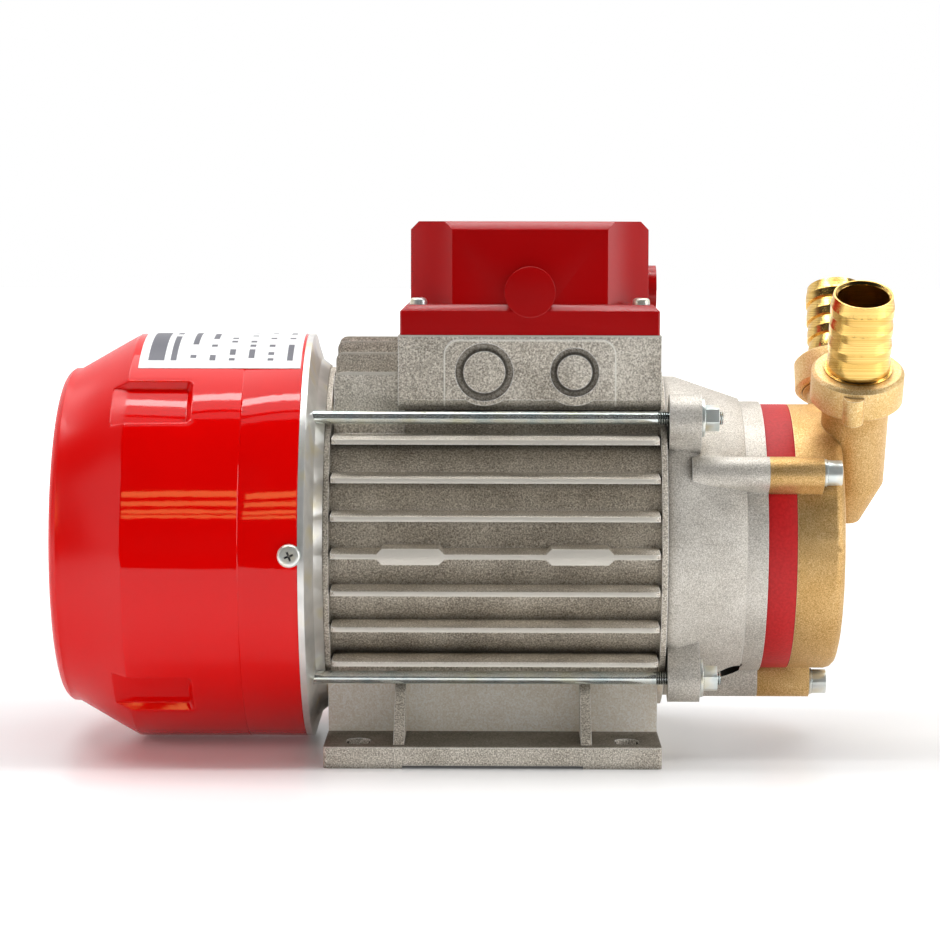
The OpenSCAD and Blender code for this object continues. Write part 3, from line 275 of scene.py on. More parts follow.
housing = rounded("stator_housing", "housing_casting", "motor", 0.55 * MM,
                  moulded=fin_tip_end, mould_r=fin_end_r)


def casting(tree, place, grain_scale, codes, painted_shade_code, edge_wear_and_highlight_code, edge=0.45 * MM):
    """A blasted casting: grains and faint patches, painted shade in its hollows, and bright edges that are
    partly wear and partly a painted highlight.
    """
    grain = add(tree, "TexNoise", {"Vector": place, "Scale": grain_scale, "Detail": 2.0, "Roughness": 0.7})
    patch = add(tree, "TexNoise", {"Vector": place, "Scale": 0.06 / MM, "Detail": 3.0})
    some = add(tree, "Math", {0: patch, 1: 0.3}, operation="MULTIPLY")
    mixed = add(tree, "Math", {0: grain, 1: some}, operation="ADD")
    tone = add(tree, "ValToRGB", {"Fac": mixed}, stops=list(zip((0.48, 0.66, 0.82), codes)))
    # painted shade: the colour darkens where little light reaches the hollows
    open_to = add(tree, "AmbientOcclusion", {"Distance": 4 * MM}, samples=6).outputs["AO"]
    in_painted_shade = add(tree, "MapRange", {"Value": open_to, "From Min": 0.72, "From Max": 0.2})
    painted_shade = add(tree, "MixRGB", {"Fac": in_painted_shade, "Color1": tone, "Color2": linear(painted_shade_code)})
    # bright edges: partly wear and partly a painted highlight
    eased = add(tree, "Bevel", {"Radius": edge}, samples=6)
    true_normal = add(tree, "NewGeometry").outputs["Normal"]
    alike = add(tree, "VectorMath", {0: eased, 1: true_normal}, operation="DOT_PRODUCT").outputs["Value"]
    sharp = add(tree, "MapRange", {"Value": alike, "From Min": 0.98, "From Max": 0.86})
    proud = add(tree, "MapRange", {"Value": open_to, "From Min": 0.6, "From Max": 0.8})
    wear_and_highlight = add(tree, "Math", {0: sharp, 1: proud}, operation="MULTIPLY")
    colour = add(tree, "MixRGB", {"Fac": wear_and_highlight, "Color1": painted_shade, "Color2": linear(edge_wear_and_highlight_code)})
    bump = add(tree, "Bump", {"Height": grain, "Strength": 0.4, "Distance": 0.3 * MM})
    return colour, bump


# shot-blasted aluminium: a dull warm grey with grains 0.3 mm across, drawn at 0.5 mm to show
# the casting's colour carries painted shade in its hollows and bright edges, partly wear and partly a painted
# highlight
die_cast, tree, shader, place = material_of("blasted_die_cast_aluminium", Metallic=0.4)
colour, bump = casting(tree, place, 1.9 / MM, ("#958d80", "#d3cbbd", "#fbf6ec"), "#4e483e", "#ffffff",
                       edge=0.6 * MM)
spot = add(tree, "SeparateXYZ", {"Vector": place})
along, across, height = spot.outputs["X"], spot.outputs["Y"], spot.outputs["Z"]
aside = add(tree, "Math", {0: across}, operation="ABSOLUTE")
# the tips of the fins and the box's upper edge carry a painted highlight
from_axis = add(tree, "Mapping", {"Vector": place, "Location": (0, 0, -AXIS_Z), "Scale": (0, 1, 1)})
from_axis = add(tree, "VectorMath", {0: from_axis}, operation="LENGTH").outputs["Value"]
at_tip = add(tree, "MapRange", {"Value": from_axis, "From Min": fin_r - 0.6 * MM,
                                "From Max": fin_r - 0.1 * MM})
above_feet = add(tree, "MapRange", {"Value": height, "From Min": 26 * MM, "From Max": 30 * MM})
below_box = add(tree, "MapRange", {"Value": height, "From Min": box_foot_z - 2.5 * MM,
                                   "From Max": box_foot_z - 5.5 * MM})
beside_box = add(tree, "MapRange", {"Value": along, "From Min": box_rear_x - 0.9 * MM,
                                    "From Max": box_rear_x - 1.3 * MM})
off_box = add(tree, "Math", {0: below_box, 1: beside_box}, operation="MAXIMUM")
band = add(tree, "Math", {0: above_feet, 1: off_box}, operation="MULTIPLY")
tips = add(tree, "Math", {0: at_tip, 1: band}, operation="MULTIPLY")
box_rim = add(tree, "MapRange", {"Value": height, "From Min": box_top_z - 0.7 * MM,
                                 "From Max": box_top_z - 0.4 * MM})
painted_highlight = add(tree, "Math", {0: tips, 1: box_rim}, operation="MAXIMUM")
# painted shade lies in the grooves round the knock-outs on the near face
knock_shade = None
for knock_x, knock_r in knock_outs:
    flat = add(tree, "Mapping", {"Vector": place, "Location": (-knock_x, 0, -knock_z), "Scale": (1, 0, 1)})
    away = add(tree, "VectorMath", {0: flat}, operation="LENGTH").outputs["Value"]
    inner = add(tree, "MapRange", {"Value": away, "From Min": knock_r - 0.4 * MM, "From Max": knock_r})
    outer = add(tree, "MapRange", {"Value": away, "From Min": knock_r + 2.6 * MM,
                                   "From Max": knock_r + 0.5 * MM})
    groove = add(tree, "MapRange", {"Value": away, "From Min": knock_r + 0.9 * MM,
                                    "From Max": knock_r + 0.6 * MM, "To Min": 0.45})
    both = add(tree, "Math", {0: inner, 1: outer}, operation="MULTIPLY")
    ring_shade = add(tree, "Math", {0: both, 1: groove}, operation="MULTIPLY")
    if knock_shade:
        ring_shade = add(tree, "Math", {0: ring_shade, 1: knock_shade}, operation="MAXIMUM")
    knock_shade = ring_shade
near = add(tree, "MapRange", {"Value": across, "From Min": box_face_y + 8 * MM,
                              "From Max": box_face_y + 6 * MM, "To Max": 0.75})
knock_shade = add(tree, "Math", {0: knock_shade, 1: near}, operation="MULTIPLY")
colour = add(tree, "MixRGB", {"Fac": knock_shade, "Color1": colour, "Color2": linear("#4a453c")})
# the edge of the raised panel round them catches the light as a fine line
flat = add(tree, "Mapping", {"Vector": place, "Location": (-panel_x, 0, -panel_z), "Scale": (1, 0, 1)})
flat = add(tree, "VectorMath", {0: flat}, operation="ABSOLUTE")
flat = add(tree, "VectorMath", {0: flat, 1: (panel_half_x - panel_corner_r, 0,
                                             panel_half_z - panel_corner_r)}, operation="SUBTRACT")
flat = add(tree, "VectorMath", {0: flat, 1: (0, 0, 0)}, operation="MAXIMUM")
away = add(tree, "VectorMath", {0: flat}, operation="LENGTH").outputs["Value"]
off_line = add(tree, "Math", {0: away, 1: panel_corner_r}, operation="SUBTRACT")
off_line = add(tree, "Math", {0: off_line}, operation="ABSOLUTE")
panel_line = add(tree, "MapRange", {"Value": off_line, "From Min": 0.4 * MM, "From Max": 0.1 * MM})
panel_line = add(tree, "Math", {0: panel_line, 1: near}, operation="MULTIPLY")
on_box = add(tree, "MapRange", {"Value": height, "From Min": box_foot_z + 1 * MM,
                                "From Max": box_foot_z + 1.5 * MM})
panel_line = add(tree, "Math", {0: panel_line, 1: on_box}, operation="MULTIPLY")
colour = add(tree, "MixRGB", {"Fac": panel_line, "Color1": colour, "Color2": linear("#fffdf4")})
colour = add(tree, "MixRGB", {"Fac": painted_highlight, "Color1": colour, "Color2": linear("#dcd7cc")})
# painted light brightens the wall between the feet, and painted shade darkens the tops of the feet
wall_face = add(tree, "MapRange", {"Value": aside, "From Min": foot_wall_y + 0.8 * MM,
                                   "From Max": foot_wall_y + 0.3 * MM})
wall_band = add(tree, "MapRange", {"Value": height, "From Min": wall_lit_z + 6 * MM,
                                   "From Max": wall_lit_z, "To Max": 0.75})
painted_light_on_wall = add(tree, "Math", {0: wall_face, 1: wall_band}, operation="MULTIPLY")
colour = add(tree, "MixRGB", {"Fac": painted_light_on_wall, "Color1": colour, "Color2": linear("#fff0d8")},
             blend_type="SCREEN")
up = add(tree, "SeparateXYZ", {"Vector": add(tree, "NewGeometry").outputs["Normal"]}).outputs["Z"]
level = add(tree, "MapRange", {"Value": up, "From Min": 0.9, "From Max": 0.98})
foot_band = add(tree, "MapRange", {"Value": height, "From Min": foot_t + 2 * MM, "From Max": foot_t + 1 * MM})
inboard = add(tree, "MapRange", {"Value": aside, "From Min": foot_edge_y - 0.8 * MM,
                                 "From Max": foot_edge_y - 3 * MM, "To Max": 0.8})
painted_shade_on_foot = add(tree, "Math", {0: level, 1: foot_band}, operation="MULTIPLY")
painted_shade_on_foot = add(tree, "Math", {0: painted_shade_on_foot, 1: inboard}, operation="MULTIPLY")
colour = add(tree, "MixRGB", {"Fac": painted_shade_on_foot, "Color1": colour, "Color2": linear("#6e685c")},
             blend_type="MULTIPLY")
# painted shade darkens the side walls of the foot slots
mirrored = add(tree, "Mapping", {"Vector": place, "Location": (-housing_middle_x, 0, 0)})
mirrored = add(tree, "VectorMath", {0: mirrored}, operation="ABSOLUTE")
from_slot = add(tree, "VectorMath", {0: mirrored, 1: (foot_slot_x, foot_slot_y, 0)}, operation="SUBTRACT")
from_slot = add(tree, "VectorMath", {0: from_slot, 1: slot_shade_half}, operation="DIVIDE")
from_slot = add(tree, "VectorMath", {0: from_slot}, operation="ABSOLUTE")
parts = add(tree, "SeparateXYZ", {"Vector": from_slot})
furthest = add(tree, "Math", {0: parts.outputs["X"], 1: parts.outputs["Y"]}, operation="MAXIMUM")
furthest = add(tree, "Math", {0: furthest, 1: parts.outputs["Z"]}, operation="MAXIMUM")
slot_wall_shade = add(tree, "MapRange", {"Value": furthest, "From Min": 1.0, "From Max": 0.94, "To Max": 0.9})
colour = add(tree, "MixRGB", {"Fac": slot_wall_shade, "Color1": colour, "Color2": linear("#1b1814")})
rough = add(tree, "MapRange", {"Value": painted_highlight, "To Min": 0.68, "To Max": 0.45})
join(tree, shader, {"Base Color": colour, "Roughness": rough, "Normal": bump})
dress(housing, die_cast)

# Stator stack, rotor stack and windings: electrical steel sheets 0.5 mm thick, stacked inside the
# housing and on the shaft, with coils of varnished copper wire.
# stacked steel sheets: dull grey lines across the stack, drawn 2 mm apart so that they show. Wave
# bands are a tenth of pi apart at a scale of 1.
band_step = pi / 10
sheet_pitch = 1.9635 * MM
sheets, tree, shader, place = material_of("stacked_electrical_steel", Metallic=1.0, Roughness=0.45)
wave = add(tree, "TexWave", {"Vector": place, "Scale": band_step / sheet_pitch, "Distortion": 0.2})
tone = add(tree, "ValToRGB", {"Fac": wave}, stops=[(0.3, "#5d5f63"), (0.7, "#8b8d91")])
bump = add(tree, "Bump", {"Height": wave, "Strength": 0.4, "Distance": 0.2 * MM})
join(tree, shader, {"Base Color": tone, "Normal": bump})
dress(nodes["stator_core"], sheets)
dress(nodes["rotor_core"], sheets)
# varnished copper wire: brown to gold strands under a clear coat, drawn 1.4 mm thick to show
wire_pitch = 1.428 * MM
copper, tree, shader, place = material_of("varnished_copper_wire", Metallic=0.9, Roughness=0.35,
                                          Coat_Weight=0.6)
turns = add(tree, "TexWave", {"Vector": place, "Scale": band_step / wire_pitch, "Distortion": 4.0,
                              "Detail": 2.0, "Detail Scale": 40.0})
tone = add(tree, "ValToRGB", {"Fac": turns}, stops=[(0.2, "#5e2810"), (0.8, "#c2743c")])
bump = add(tree, "Bump", {"Height": turns, "Strength": 0.7, "Distance": 0.6 * MM})
join(tree, shader, {"Base Color": tone, "Normal": bump})
dress(nodes["stator_windings"], copper)

# Shaft, bearing rings, balls and impeller key: hardened steel, ground to size. The bearings are
# pushed onto the shaft and sit in the two shields.
# ground steel: bright, with grinding lines round the axis, drawn 0.3 mm apart to show
ground, tree, shader, place = material_of("ground_bearing_steel", Metallic=1.0, Roughness=0.2)
round_axis = add(tree, "Mapping", {"Vector": place, "Scale": (3 / MM, 0.02 / MM, 0.02 / MM)})
lines = add(tree, "TexNoise", {"Vector": round_axis, "Scale": 1.0})
tone = add(tree, "ValToRGB", {"Fac": lines}, stops=[(0.35, "#a9adb2"), (0.7, "#d2d5d8")])
bump = add(tree, "Bump", {"Height": lines, "Strength": 0.1, "Distance": 0.1 * MM})
join(tree, shader, {"Base Color": tone, "Normal": bump})
for name in ("shaft", "rear_bearing_outer", "rear_bearing_inner", "rear_bearing_balls",
             "front_bearing_outer", "front_bearing_inner", "front_bearing_balls", "impeller_key"):
    dress(nodes[name], ground)


# Bearing cages: brass strip, pressed to shape round the balls of each bearing and riveted through,
# to keep the balls apart.
def mottled(name, per_mm, codes, detail=2.0, distortion=0.0, relief=0.0, depth=0.2 * MM, **sockets):
    """A material whose patches, so many to the millimetre, run between two colours, some in relief."""
    made, tree, shader, place = material_of(name, **sockets)
    patches = add(tree, "TexNoise", {"Vector": place, "Scale": per_mm / MM, "Detail": detail,
                                     "Distortion": distortion})
    tone = add(tree, "ValToRGB", {"Fac": patches}, stops=list(zip((0.3, 0.7), codes)))
    join(tree, shader, {"Base Color": tone})
    if relief:
        bump = add(tree, "Bump", {"Height": patches, "Strength": relief, "Distance": depth})
        join(tree, shader, {"Normal": bump})
    return made


# pressed brass: satin gold, clouded every 2.5 mm where the tool rubbed
pressed = mottled("pressed_brass_strip", 0.4, ("#8c7538", "#b09a5a"), 3.0, Metallic=1.0, Roughness=0.35)
dress(nodes["rear_bearing_cage"], pressed)
dress(nodes["front_bearing_cage"], pressed)

# Rear shield and the rotor's end rings: aluminium castings turned on a lathe. The shield's bright rim
# shows between the fan cover and the fins, where the cover is pushed over it.
# turned aluminium: bright and satin, faintly yellow in patches, with the tool's rings drawn 0.45 mm
# apart to show
turned_al, tree, shader, place = material_of("turned_aluminium", Metallic=0.6, Roughness=0.3)
round_axis = add(tree, "Mapping", {"Vector": place, "Scale": (2.2 / MM, 0.008 / MM, 0.008 / MM)})
feed = add(tree, "TexNoise", {"Vector": round_axis, "Scale": 1.0})
cloud = add(tree, "TexNoise", {"Vector": place, "Scale": 0.09 / MM, "Detail": 2.0})
tone = add(tree, "ValToRGB", {"Fac": cloud}, stops=[(0.3, "#d2d2ce"), (0.55, "#ecebe7"), (0.75, "#eee6c8")])
bump = add(tree, "Bump", {"Height": feed, "Strength": 0.25, "Distance": 0.1 * MM})
join(tree, shader, {"Base Color": tone, "Normal": bump})
rear = rounded("rear_shield", "rear_shield_turned", "motor", 0.3 * MM)
dress(rear, turned_al)
dress(nodes["rotor_end_rings"], turned_al)

# Cooling fan: one moulding in black glass-filled nylon, pushed onto the rear end of the shaft and
# held by a clip.
# glass-filled nylon: near black and satin, with flow marks from the mould about 8 mm apart
nylon = mottled("glass_filled_nylon", 0.12, ("#202022", "#343437"), 4.0, 1.0, 0.2, 0.3 * MM, Roughness=0.5)
dress(nodes["cooling_fan"], nylon)

# Fan cover: one moulded shell of glossy red ABS, pushed over the rear shield's rim and screwed from
# both sides. The mould leaves a fine parting ring, a pocket on each diagonal and a slotted end.
cover_low, cover_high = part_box("fan_cover")
cover_r = (cover_high.y - cover_low.y) / 2
cover_wall = 2.5 * MM
cover_sides = 192
one_side = 2 * pi / cover_sides
mouth_x = cover_high.x
end_x = cover_low.x
crease_x = end_x + 26 * MM
tip_x = end_x + 3 * MM
tip_r = 57.4 * MM
nose_r = 5.2 * MM
nose_turns = [radians(28 + 62 * step / 5) for step in range(6)]
seam_x = mouth_x - 19.7 * MM
seam_depth = 0.3 * MM
pocket_x = mouth_x - 36.5 * MM
pocket_r = cover_r - 3 * MM
pocket_half = radians(7.5)
pocket_slope = 1.6 * MM
pocket_side_slope = 0.75 * MM
pocket_left_x = crease_x - (cover_r - pocket_r) * (crease_x - tip_x) / (cover_r - tip_r)
slot_bars = 6
# each ring of slots: inner radius, outer radius, and half its bars' width in sides of the shell
slot_rings = [(14 * MM, 18.5 * MM, 5), (22 * MM, 26.5 * MM, 3), (30 * MM, 34.5 * MM, 2),
              (38 * MM, 42.5 * MM, 2)]

outline = [(mouth_x, cover_r - 0.3 * MM), (mouth_x - 0.3 * MM, cover_r)]
outline += [(seam_x + 0.3 * MM, cover_r - 0.15 * MM), (seam_x, cover_r - seam_depth)]
outline += [(seam_x - 0.3 * MM, cover_r - 0.08 * MM), (seam_x - 4 * MM, cover_r - 0.03 * MM)]
outline += [(pocket_x, cover_r), (crease_x + 0.5 * MM, cover_r), (crease_x, cover_r - 0.1 * MM)]
outline += [(crease_x - 0.5 * MM, cover_r - 0.4 * MM), (pocket_left_x, pocket_r)]
outline += [(tip_x + 2 * MM, tip_r + 1.15 * MM)]
for turn in nose_turns:
    outline.append((end_x + nose_r - nose_r * sin(turn), tip_r - 3.6 * MM + nose_r * cos(turn)))
for inner, outer, _ in reversed(slot_rings):
    outline += [(end_x, outer), (end_x, inner)]
outline.append((end_x, 0.5 * MM))


def turn_of(point):
    """The angle of a point about the shaft, with 0 on the near side and a quarter turn upwards."""
    return atan2(point.z - AXIS_Z, -point.y)


def off_diagonal(point):
    """How far a point is from the nearest diagonal, as an angle."""
    return abs((turn_of(point) % (pi / 2)) - pi / 4)


def in_pocket(point):
    """Whether a face's middle lies over one of the four pockets."""
    return pocket_left_x < point.x < pocket_x and off_diagonal(point) < pocket_half


def pocket_corner(edge):
    """Whether an edge is an upright one at a pocket's two corners towards the mouth."""
    ends = [v.co for v in edge.verts]
    reaches = sorted(hypot(p.y, p.z - AXIS_Z) for p in ends)
    right = all(p.x > pocket_x - pocket_slope - 0.2 * MM for p in ends)
    side = all(pocket_half - radians(1.2) < off_diagonal(p) < pocket_half + radians(0.2) for p in ends)
    return right and side and reaches[0] < pocket_r + 0.1 * MM and reaches[1] > cover_r - 0.1 * MM


def pocket_rim(edge):
    """Whether an edge is a sharp one in or round a pocket."""
    if len(edge.link_faces) != 2:
        return False
    ends = [v.co for v in edge.verts]
    near = all(off_diagonal(p) < pocket_half + radians(0.3) for p in ends)
    along = all(pocket_left_x - 0.1 * MM < p.x < pocket_x + 0.1 * MM for p in ends)
    return near and along and edge.calc_face_angle() > radians(25)


def in_slot(point):
    """Whether a face's middle lies in a slot of the end, between two of the slots' bars."""
    if abs(point.x - end_x) > 0.1 * MM:
        return False
    reach = hypot(point.y, point.z - AXIS_Z)
    for inner, outer, half_sides in slot_rings:
        if inner < reach < outer:
            from_bar = (turn_of(point) + pi / slot_bars) % (2 * pi / slot_bars) - pi / slot_bars
            return abs(from_bar) > one_side * half_sides
    return False


# the shell is drawn out from its mouth along the outline, as if turned on a lathe
start_x, start_r = outline[0]
bpy.ops.object.select_all(action="DESELECT")
bpy.ops.mesh.primitive_circle_add(vertices=cover_sides, radius=start_r, location=(start_x, 0, AXIS_Z),
                                  rotation=(0, pi / 2, 0))
cover = bpy.context.object
cover.name = "fan_cover_shell"
bpy.ops.object.transform_apply(location=True, rotation=True, scale=True)
bpy.ops.object.mode_set(mode="EDIT")
bpy.ops.mesh.select_all(action="SELECT")
for (x0, r0), (x1, r1) in zip(outline, outline[1:]):
    bpy.ops.mesh.extrude_region_move(TRANSFORM_OT_translate={"value": (x1 - x0, 0, 0)})
    bpy.ops.transform.resize(value=(1, r1 / r0, r1 / r0), center_override=(x1, 0, AXIS_Z))
bpy.ops.mesh.select_all(action="SELECT")
bpy.ops.mesh.normals_make_consistent(inside=False)
# the pockets are sunk to a lower radius with sloped sides, then their corners and rims are rounded
choose(cover, "FACE", in_pocket)
bpy.ops.mesh.extrude_region_move(TRANSFORM_OT_translate={"value": (0, 0, 0)})
shape = bmesh.from_edit_mesh(cover.data)
for vertex in [v for v in shape.verts if v.select]:
    reach = hypot(vertex.co.y, vertex.co.z - AXIS_Z)
    turn = turn_of(vertex.co)
    if off_diagonal(vertex.co) > pocket_half - radians(0.1):
        middle_turn = (turn // (pi / 2)) * pi / 2 + pi / 4
        turn += (pocket_side_slope / pocket_r) * (1 if middle_turn > turn else -1)
    if vertex.co.x > pocket_x - 0.1 * MM:
        vertex.co.x -= pocket_slope
    if vertex.co.x > pocket_left_x + 0.1 * MM:
        reach = pocket_r
    vertex.co.y = -reach * cos(turn)
    vertex.co.z = AXIS_Z + reach * sin(turn)
bmesh.update_edit_mesh(cover.data)
bpy.ops.mesh.select_all(action="SELECT")
bpy.ops.mesh.remove_doubles(threshold=0.02 * MM)
choose(cover, "EDGE", pocket_corner)
bpy.ops.mesh.bevel(offset=2 * MM, segments=4, affect="EDGES")
choose(cover, "EDGE", pocket_rim)
bpy.ops.mesh.bevel(offset=0.45 * MM, segments=3, affect="EDGES")
choose(cover, "FACE", in_slot)
bpy.ops.mesh.delete(type="FACE")
bpy.ops.object.mode_set(mode="OBJECT")
wall = cover.modifiers.new("wall", "SOLIDIFY")
wall.thickness = cover_wall
wall.offset = -1
bpy.ops.object.modifier_apply(modifier=wall.name)
pick(cover)
bpy.ops.object.shade_smooth_by_angle(angle=radians(30))
blind_falls_on.objects.link(cover)
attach(cover, "motor")
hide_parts("fan_cover")
# glossy moulded ABS: sharp reflections over a faint orange peel about 3 mm across, and a satin cone
gloss_red, tree, shader, place = material_of("moulded_red_abs", Specular_IOR_Level=0.34)
cloud = add(tree, "TexNoise", {"Vector": place, "Scale": 0.018 / MM, "Detail": 2.0})
tone = add(tree, "ValToRGB", {"Fac": cloud}, stops=[(0.3, "#e20302"), (0.7, "#ea0403")])
peel = add(tree, "TexNoise", {"Vector": place, "Scale": 0.33 / MM, "Detail": 1.0})
bump = add(tree, "Bump", {"Height": peel, "Strength": 0.05, "Distance": 0.3 * MM})
along = add(tree, "SeparateXYZ", {"Vector": place}).outputs["X"]
gloss = add(tree, "MapRange", {"Value": along, "From Min": crease_x - 1 * MM, "From Max": crease_x,
                               "To Min": 0.26, "To Max": 0.055})
join(tree, shader, {"Base Color": tone, "Roughness": gloss, "Normal": bump})
dress(cover, gloss_red)

# Fan cover screws: two plated steel screws with a cross recess, one on each side, that hold the cover
# to the rear shield. The clips, the preload washer and the capacitor's clamp are plated as they are.
# bright zinc plate: silver with a faint yellow and blue bloom every 8 mm, with painted shade in its recesses
zinc, tree, shader, place = material_of("bright_zinc_plate", Metallic=0.65, Roughness=0.28)
bloom = add(tree, "TexNoise", {"Vector": place, "Scale": 0.13 / MM, "Detail": 2.0})
tone = add(tree, "ValToRGB", {"Fac": bloom}, stops=[(0.3, "#d3e0df"), (0.5, "#eef2ee"), (0.72, "#f2ebcf")])
bump = add(tree, "Bump", {"Height": bloom, "Strength": 0.1, "Distance": 0.2 * MM})
open_to = add(tree, "AmbientOcclusion", {"Distance": 1.2 * MM}, samples=6).outputs["AO"]
in_painted_shade = add(tree, "MapRange", {"Value": open_to, "From Min": 0.6, "From Max": 0.3})
colour = add(tree, "MixRGB", {"Fac": in_painted_shade, "Color1": tone, "Color2": linear("#2b2d2c")})
join(tree, shader, {"Base Color": colour, "Normal": bump})
for name in ("fan_clip", "impeller_clip", "preload_washer", "capacitor_clamp"):
    dress(nodes[name], zinc)


def cut(piece, tool):
    """Cuts one mesh out of another and deletes the cutter."""
    pick(piece)
    notch = piece.modifiers.new("notch", "BOOLEAN")
    notch.object = tool
    notch.operation = "DIFFERENCE"
    notch.solver = "EXACT"
    bpy.ops.object.modifier_apply(modifier=notch.name)
    bpy.data.objects.remove(tool)


def pan_head(radius, height, arm):
    """A domed screw head with a cross recess, upright on the origin, to be copied."""
    bpy.ops.object.select_all(action="DESELECT")
    bpy.ops.mesh.primitive_cylinder_add(vertices=64, radius=radius, depth=height,
                                        location=(0, 0, height / 2))
    head = bpy.context.object
    bpy.ops.object.transform_apply(location=True, rotation=True, scale=True)
    bpy.ops.object.mode_set(mode="EDIT")
    choose(head, "EDGE", lambda e: all(v.co.z > height * 0.9 for v in e.verts))
    bpy.ops.mesh.bevel(offset=height * 0.62, segments=6, profile=0.55, affect="EDGES")
    bpy.ops.object.mode_set(mode="OBJECT")
    for quarter in range(2):
        bpy.ops.mesh.primitive_cube_add(size=1, location=(0, 0, height))
        bit = bpy.context.object
        bit.scale = (arm * 2, arm * 0.42, height * 1.3)
        bit.rotation_euler = (0, 0, quarter * pi / 2 + radians(20))
        bpy.ops.object.transform_apply(location=True, rotation=True, scale=True)
        bpy.ops.object.mode_set(mode="EDIT")
        choose(bit, "FACE", lambda c: c.z < height * 0.5)
        bpy.ops.transform.resize(value=(0.45, 0.45, 1), center_override=(0, 0, height * 0.35))
        bpy.ops.object.mode_set(mode="OBJECT")
        cut(head, bit)
    pick(head)
    bpy.ops.object.shade_smooth_by_angle(angle=radians(35))
    return head


def set_head(model, name, place, turn, node_name):
    """A copy of a screw head, turned and set on its place in its own mesh, in zinc plate."""
    piece = copy_of(model, name)
    piece.rotation_euler = turn
    piece.location = place
    bpy.ops.object.transform_apply(location=True, rotation=True, scale=True)
    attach(piece, "motor")
    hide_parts(node_name)
    dress(piece, zinc)


screw_low, screw_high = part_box("fan_cover_screws")
screw_x = (screw_low.x + screw_high.x) / 2
head_foot_y = cover_r - 0.1 * MM
cover_head = pan_head(3.95 * MM, screw_high.y - head_foot_y, 2.3 * MM)
for side, name in ((-1, "fan_cover_screw_near"), (1, "fan_cover_screw_far")):
    set_head(cover_head, name, (screw_x, side * head_foot_y, AXIS_Z), (-side * pi / 2, 0, 0),
             "fan_cover_screws")
bpy.data.objects.remove(cover_head)

# Rating label: a sheet of white foil, stuck on top of the fan cover, with plain grey bars in rows and
# one block at its rear edge.
row_pitch = 6.6 * MM
bar_step = 2.1 * MM
block_x = -112 * MM
bars_from_x, bars_to_x = -117.5 * MM, -68 * MM
bars_half_y = 33 * MM
# white foil: satin and even, with a fibre of 2 mm that hardly shows
foil, tree, shader, place = material_of("white_label_foil", Roughness=0.35)
fibre = add(tree, "TexNoise", {"Vector": place, "Scale": 0.5 / MM})
tone = add(tree, "ValToRGB", {"Fac": fibre}, stops=[(0.3, "#f2f2f2"), (0.7, "#fafafa")])
spot = add(tree, "SeparateXYZ", {"Vector": place})
along = spot.outputs["X"]
aside = add(tree, "Math", {0: spot.outputs["Y"]}, operation="ABSOLUTE")
row = add(tree, "Math", {0: along, 1: row_pitch / 2}, operation="PINGPONG")
in_row = add(tree, "Math", {0: row, 1: 2.3 * MM}, operation="GREATER_THAN")
cell = add(tree, "VectorMath", {0: place, 1: (row_pitch, bar_step, 1)}, operation="SNAP")
lot = add(tree, "TexWhiteNoise", {"Vector": cell}).outputs["Value"]
in_bar = add(tree, "Math", {0: lot, 1: 0.42}, operation="GREATER_THAN")
grey = add(tree, "Math", {0: in_row, 1: in_bar}, operation="MULTIPLY")
block = add(tree, "Math", {0: along, 1: block_x}, operation="LESS_THAN")
grey = add(tree, "Math", {0: grey, 1: block}, operation="MAXIMUM")
for value, limit, test in ((along, bars_from_x, "GREATER_THAN"), (along, bars_to_x, "LESS_THAN"),
                           (aside, bars_half_y, "LESS_THAN")):
    within = add(tree, "Math", {0: value, 1: limit}, operation=test)
    grey = add(tree, "Math", {0: grey, 1: within}, operation="MULTIPLY")
barred = add(tree, "MixRGB", {"Fac": grey, "Color1": tone, "Color2": linear("#5c5c66")})
join(tree, shader, {"Base Color": barred})
dress(nodes["rating_label"], foil)

# Front shield: a second aluminium casting, blasted finer and lighter than the housing, with ears for
# the tie rods, bosses for the pump bolts and two drain holes. It is drawn against the housing.
drain_x = 81.5 * MM
drain_r = 4.5 * MM
drain_start = 37 * MM
drain_turn = radians(24)
# finely blasted aluminium: a light warm grey with grains drawn at 0.4 mm, painted shade in its
# hollows and down the drains, and bright edges, partly wear and partly a painted highlight
shield_cast, tree, shader, place = material_of("fine_blasted_aluminium", Metallic=0.6, Roughness=0.55)
colour, bump = casting(tree, place, 2.3 / MM, ("#b0aaa0", "#d6d1c7", "#f0ece5"), "#35312a", "#ffffff")
mirrored = add(tree, "VectorMath", {0: place}, operation="ABSOLUTE")
to_drain = add(tree, "Mapping", {
    "Vector": mirrored, "Rotation": (-drain_turn, 0, 0),
    "Location": (-drain_x, -AXIS_Z * sin(drain_turn), -AXIS_Z * cos(drain_turn))})
down = add(tree, "SeparateXYZ", {"Vector": to_drain}).outputs["Z"]
across = add(tree, "VectorMath", {0: to_drain, 1: (1, 1, 0)}, operation="MULTIPLY")
across = add(tree, "VectorMath", {0: across}, operation="LENGTH").outputs["Value"]
in_drain = add(tree, "MapRange", {"Value": across, "From Min": drain_r + 0.5 * MM,
                                  "From Max": drain_r + 0.2 * MM})
below = add(tree, "MapRange", {"Value": down, "From Min": -drain_start, "From Max": -drain_start - 1 * MM})
unlit = add(tree, "Math", {0: in_drain, 1: below}, operation="MULTIPLY")
colour = add(tree, "MixRGB", {"Fac": unlit, "Color1": colour, "Color2": linear("#15130f")})
join(tree, shader, {"Base Color": colour, "Normal": bump})
shield = rounded("front_shield", "front_shield_casting", "motor", 0.5 * MM)
dress(shield, shield_cast)

# Tie rods: four long steel rods, plated, that clamp the two shields against the housing, each with a
# washer and a nut at the pump end.
rods = rounded("tie_rods", "tie_rods_plated", "motor", 0.25 * MM)
rod_nuts = rounded("tie_rod_nuts", "tie_rod_nuts_plated", "motor", 0.35 * MM)
rod_washers = rounded("tie_rod_washers", "tie_rod_washers_plated", "motor", 0.2 * MM)
dress(rod_nuts, zinc)
dress(rod_washers, zinc)
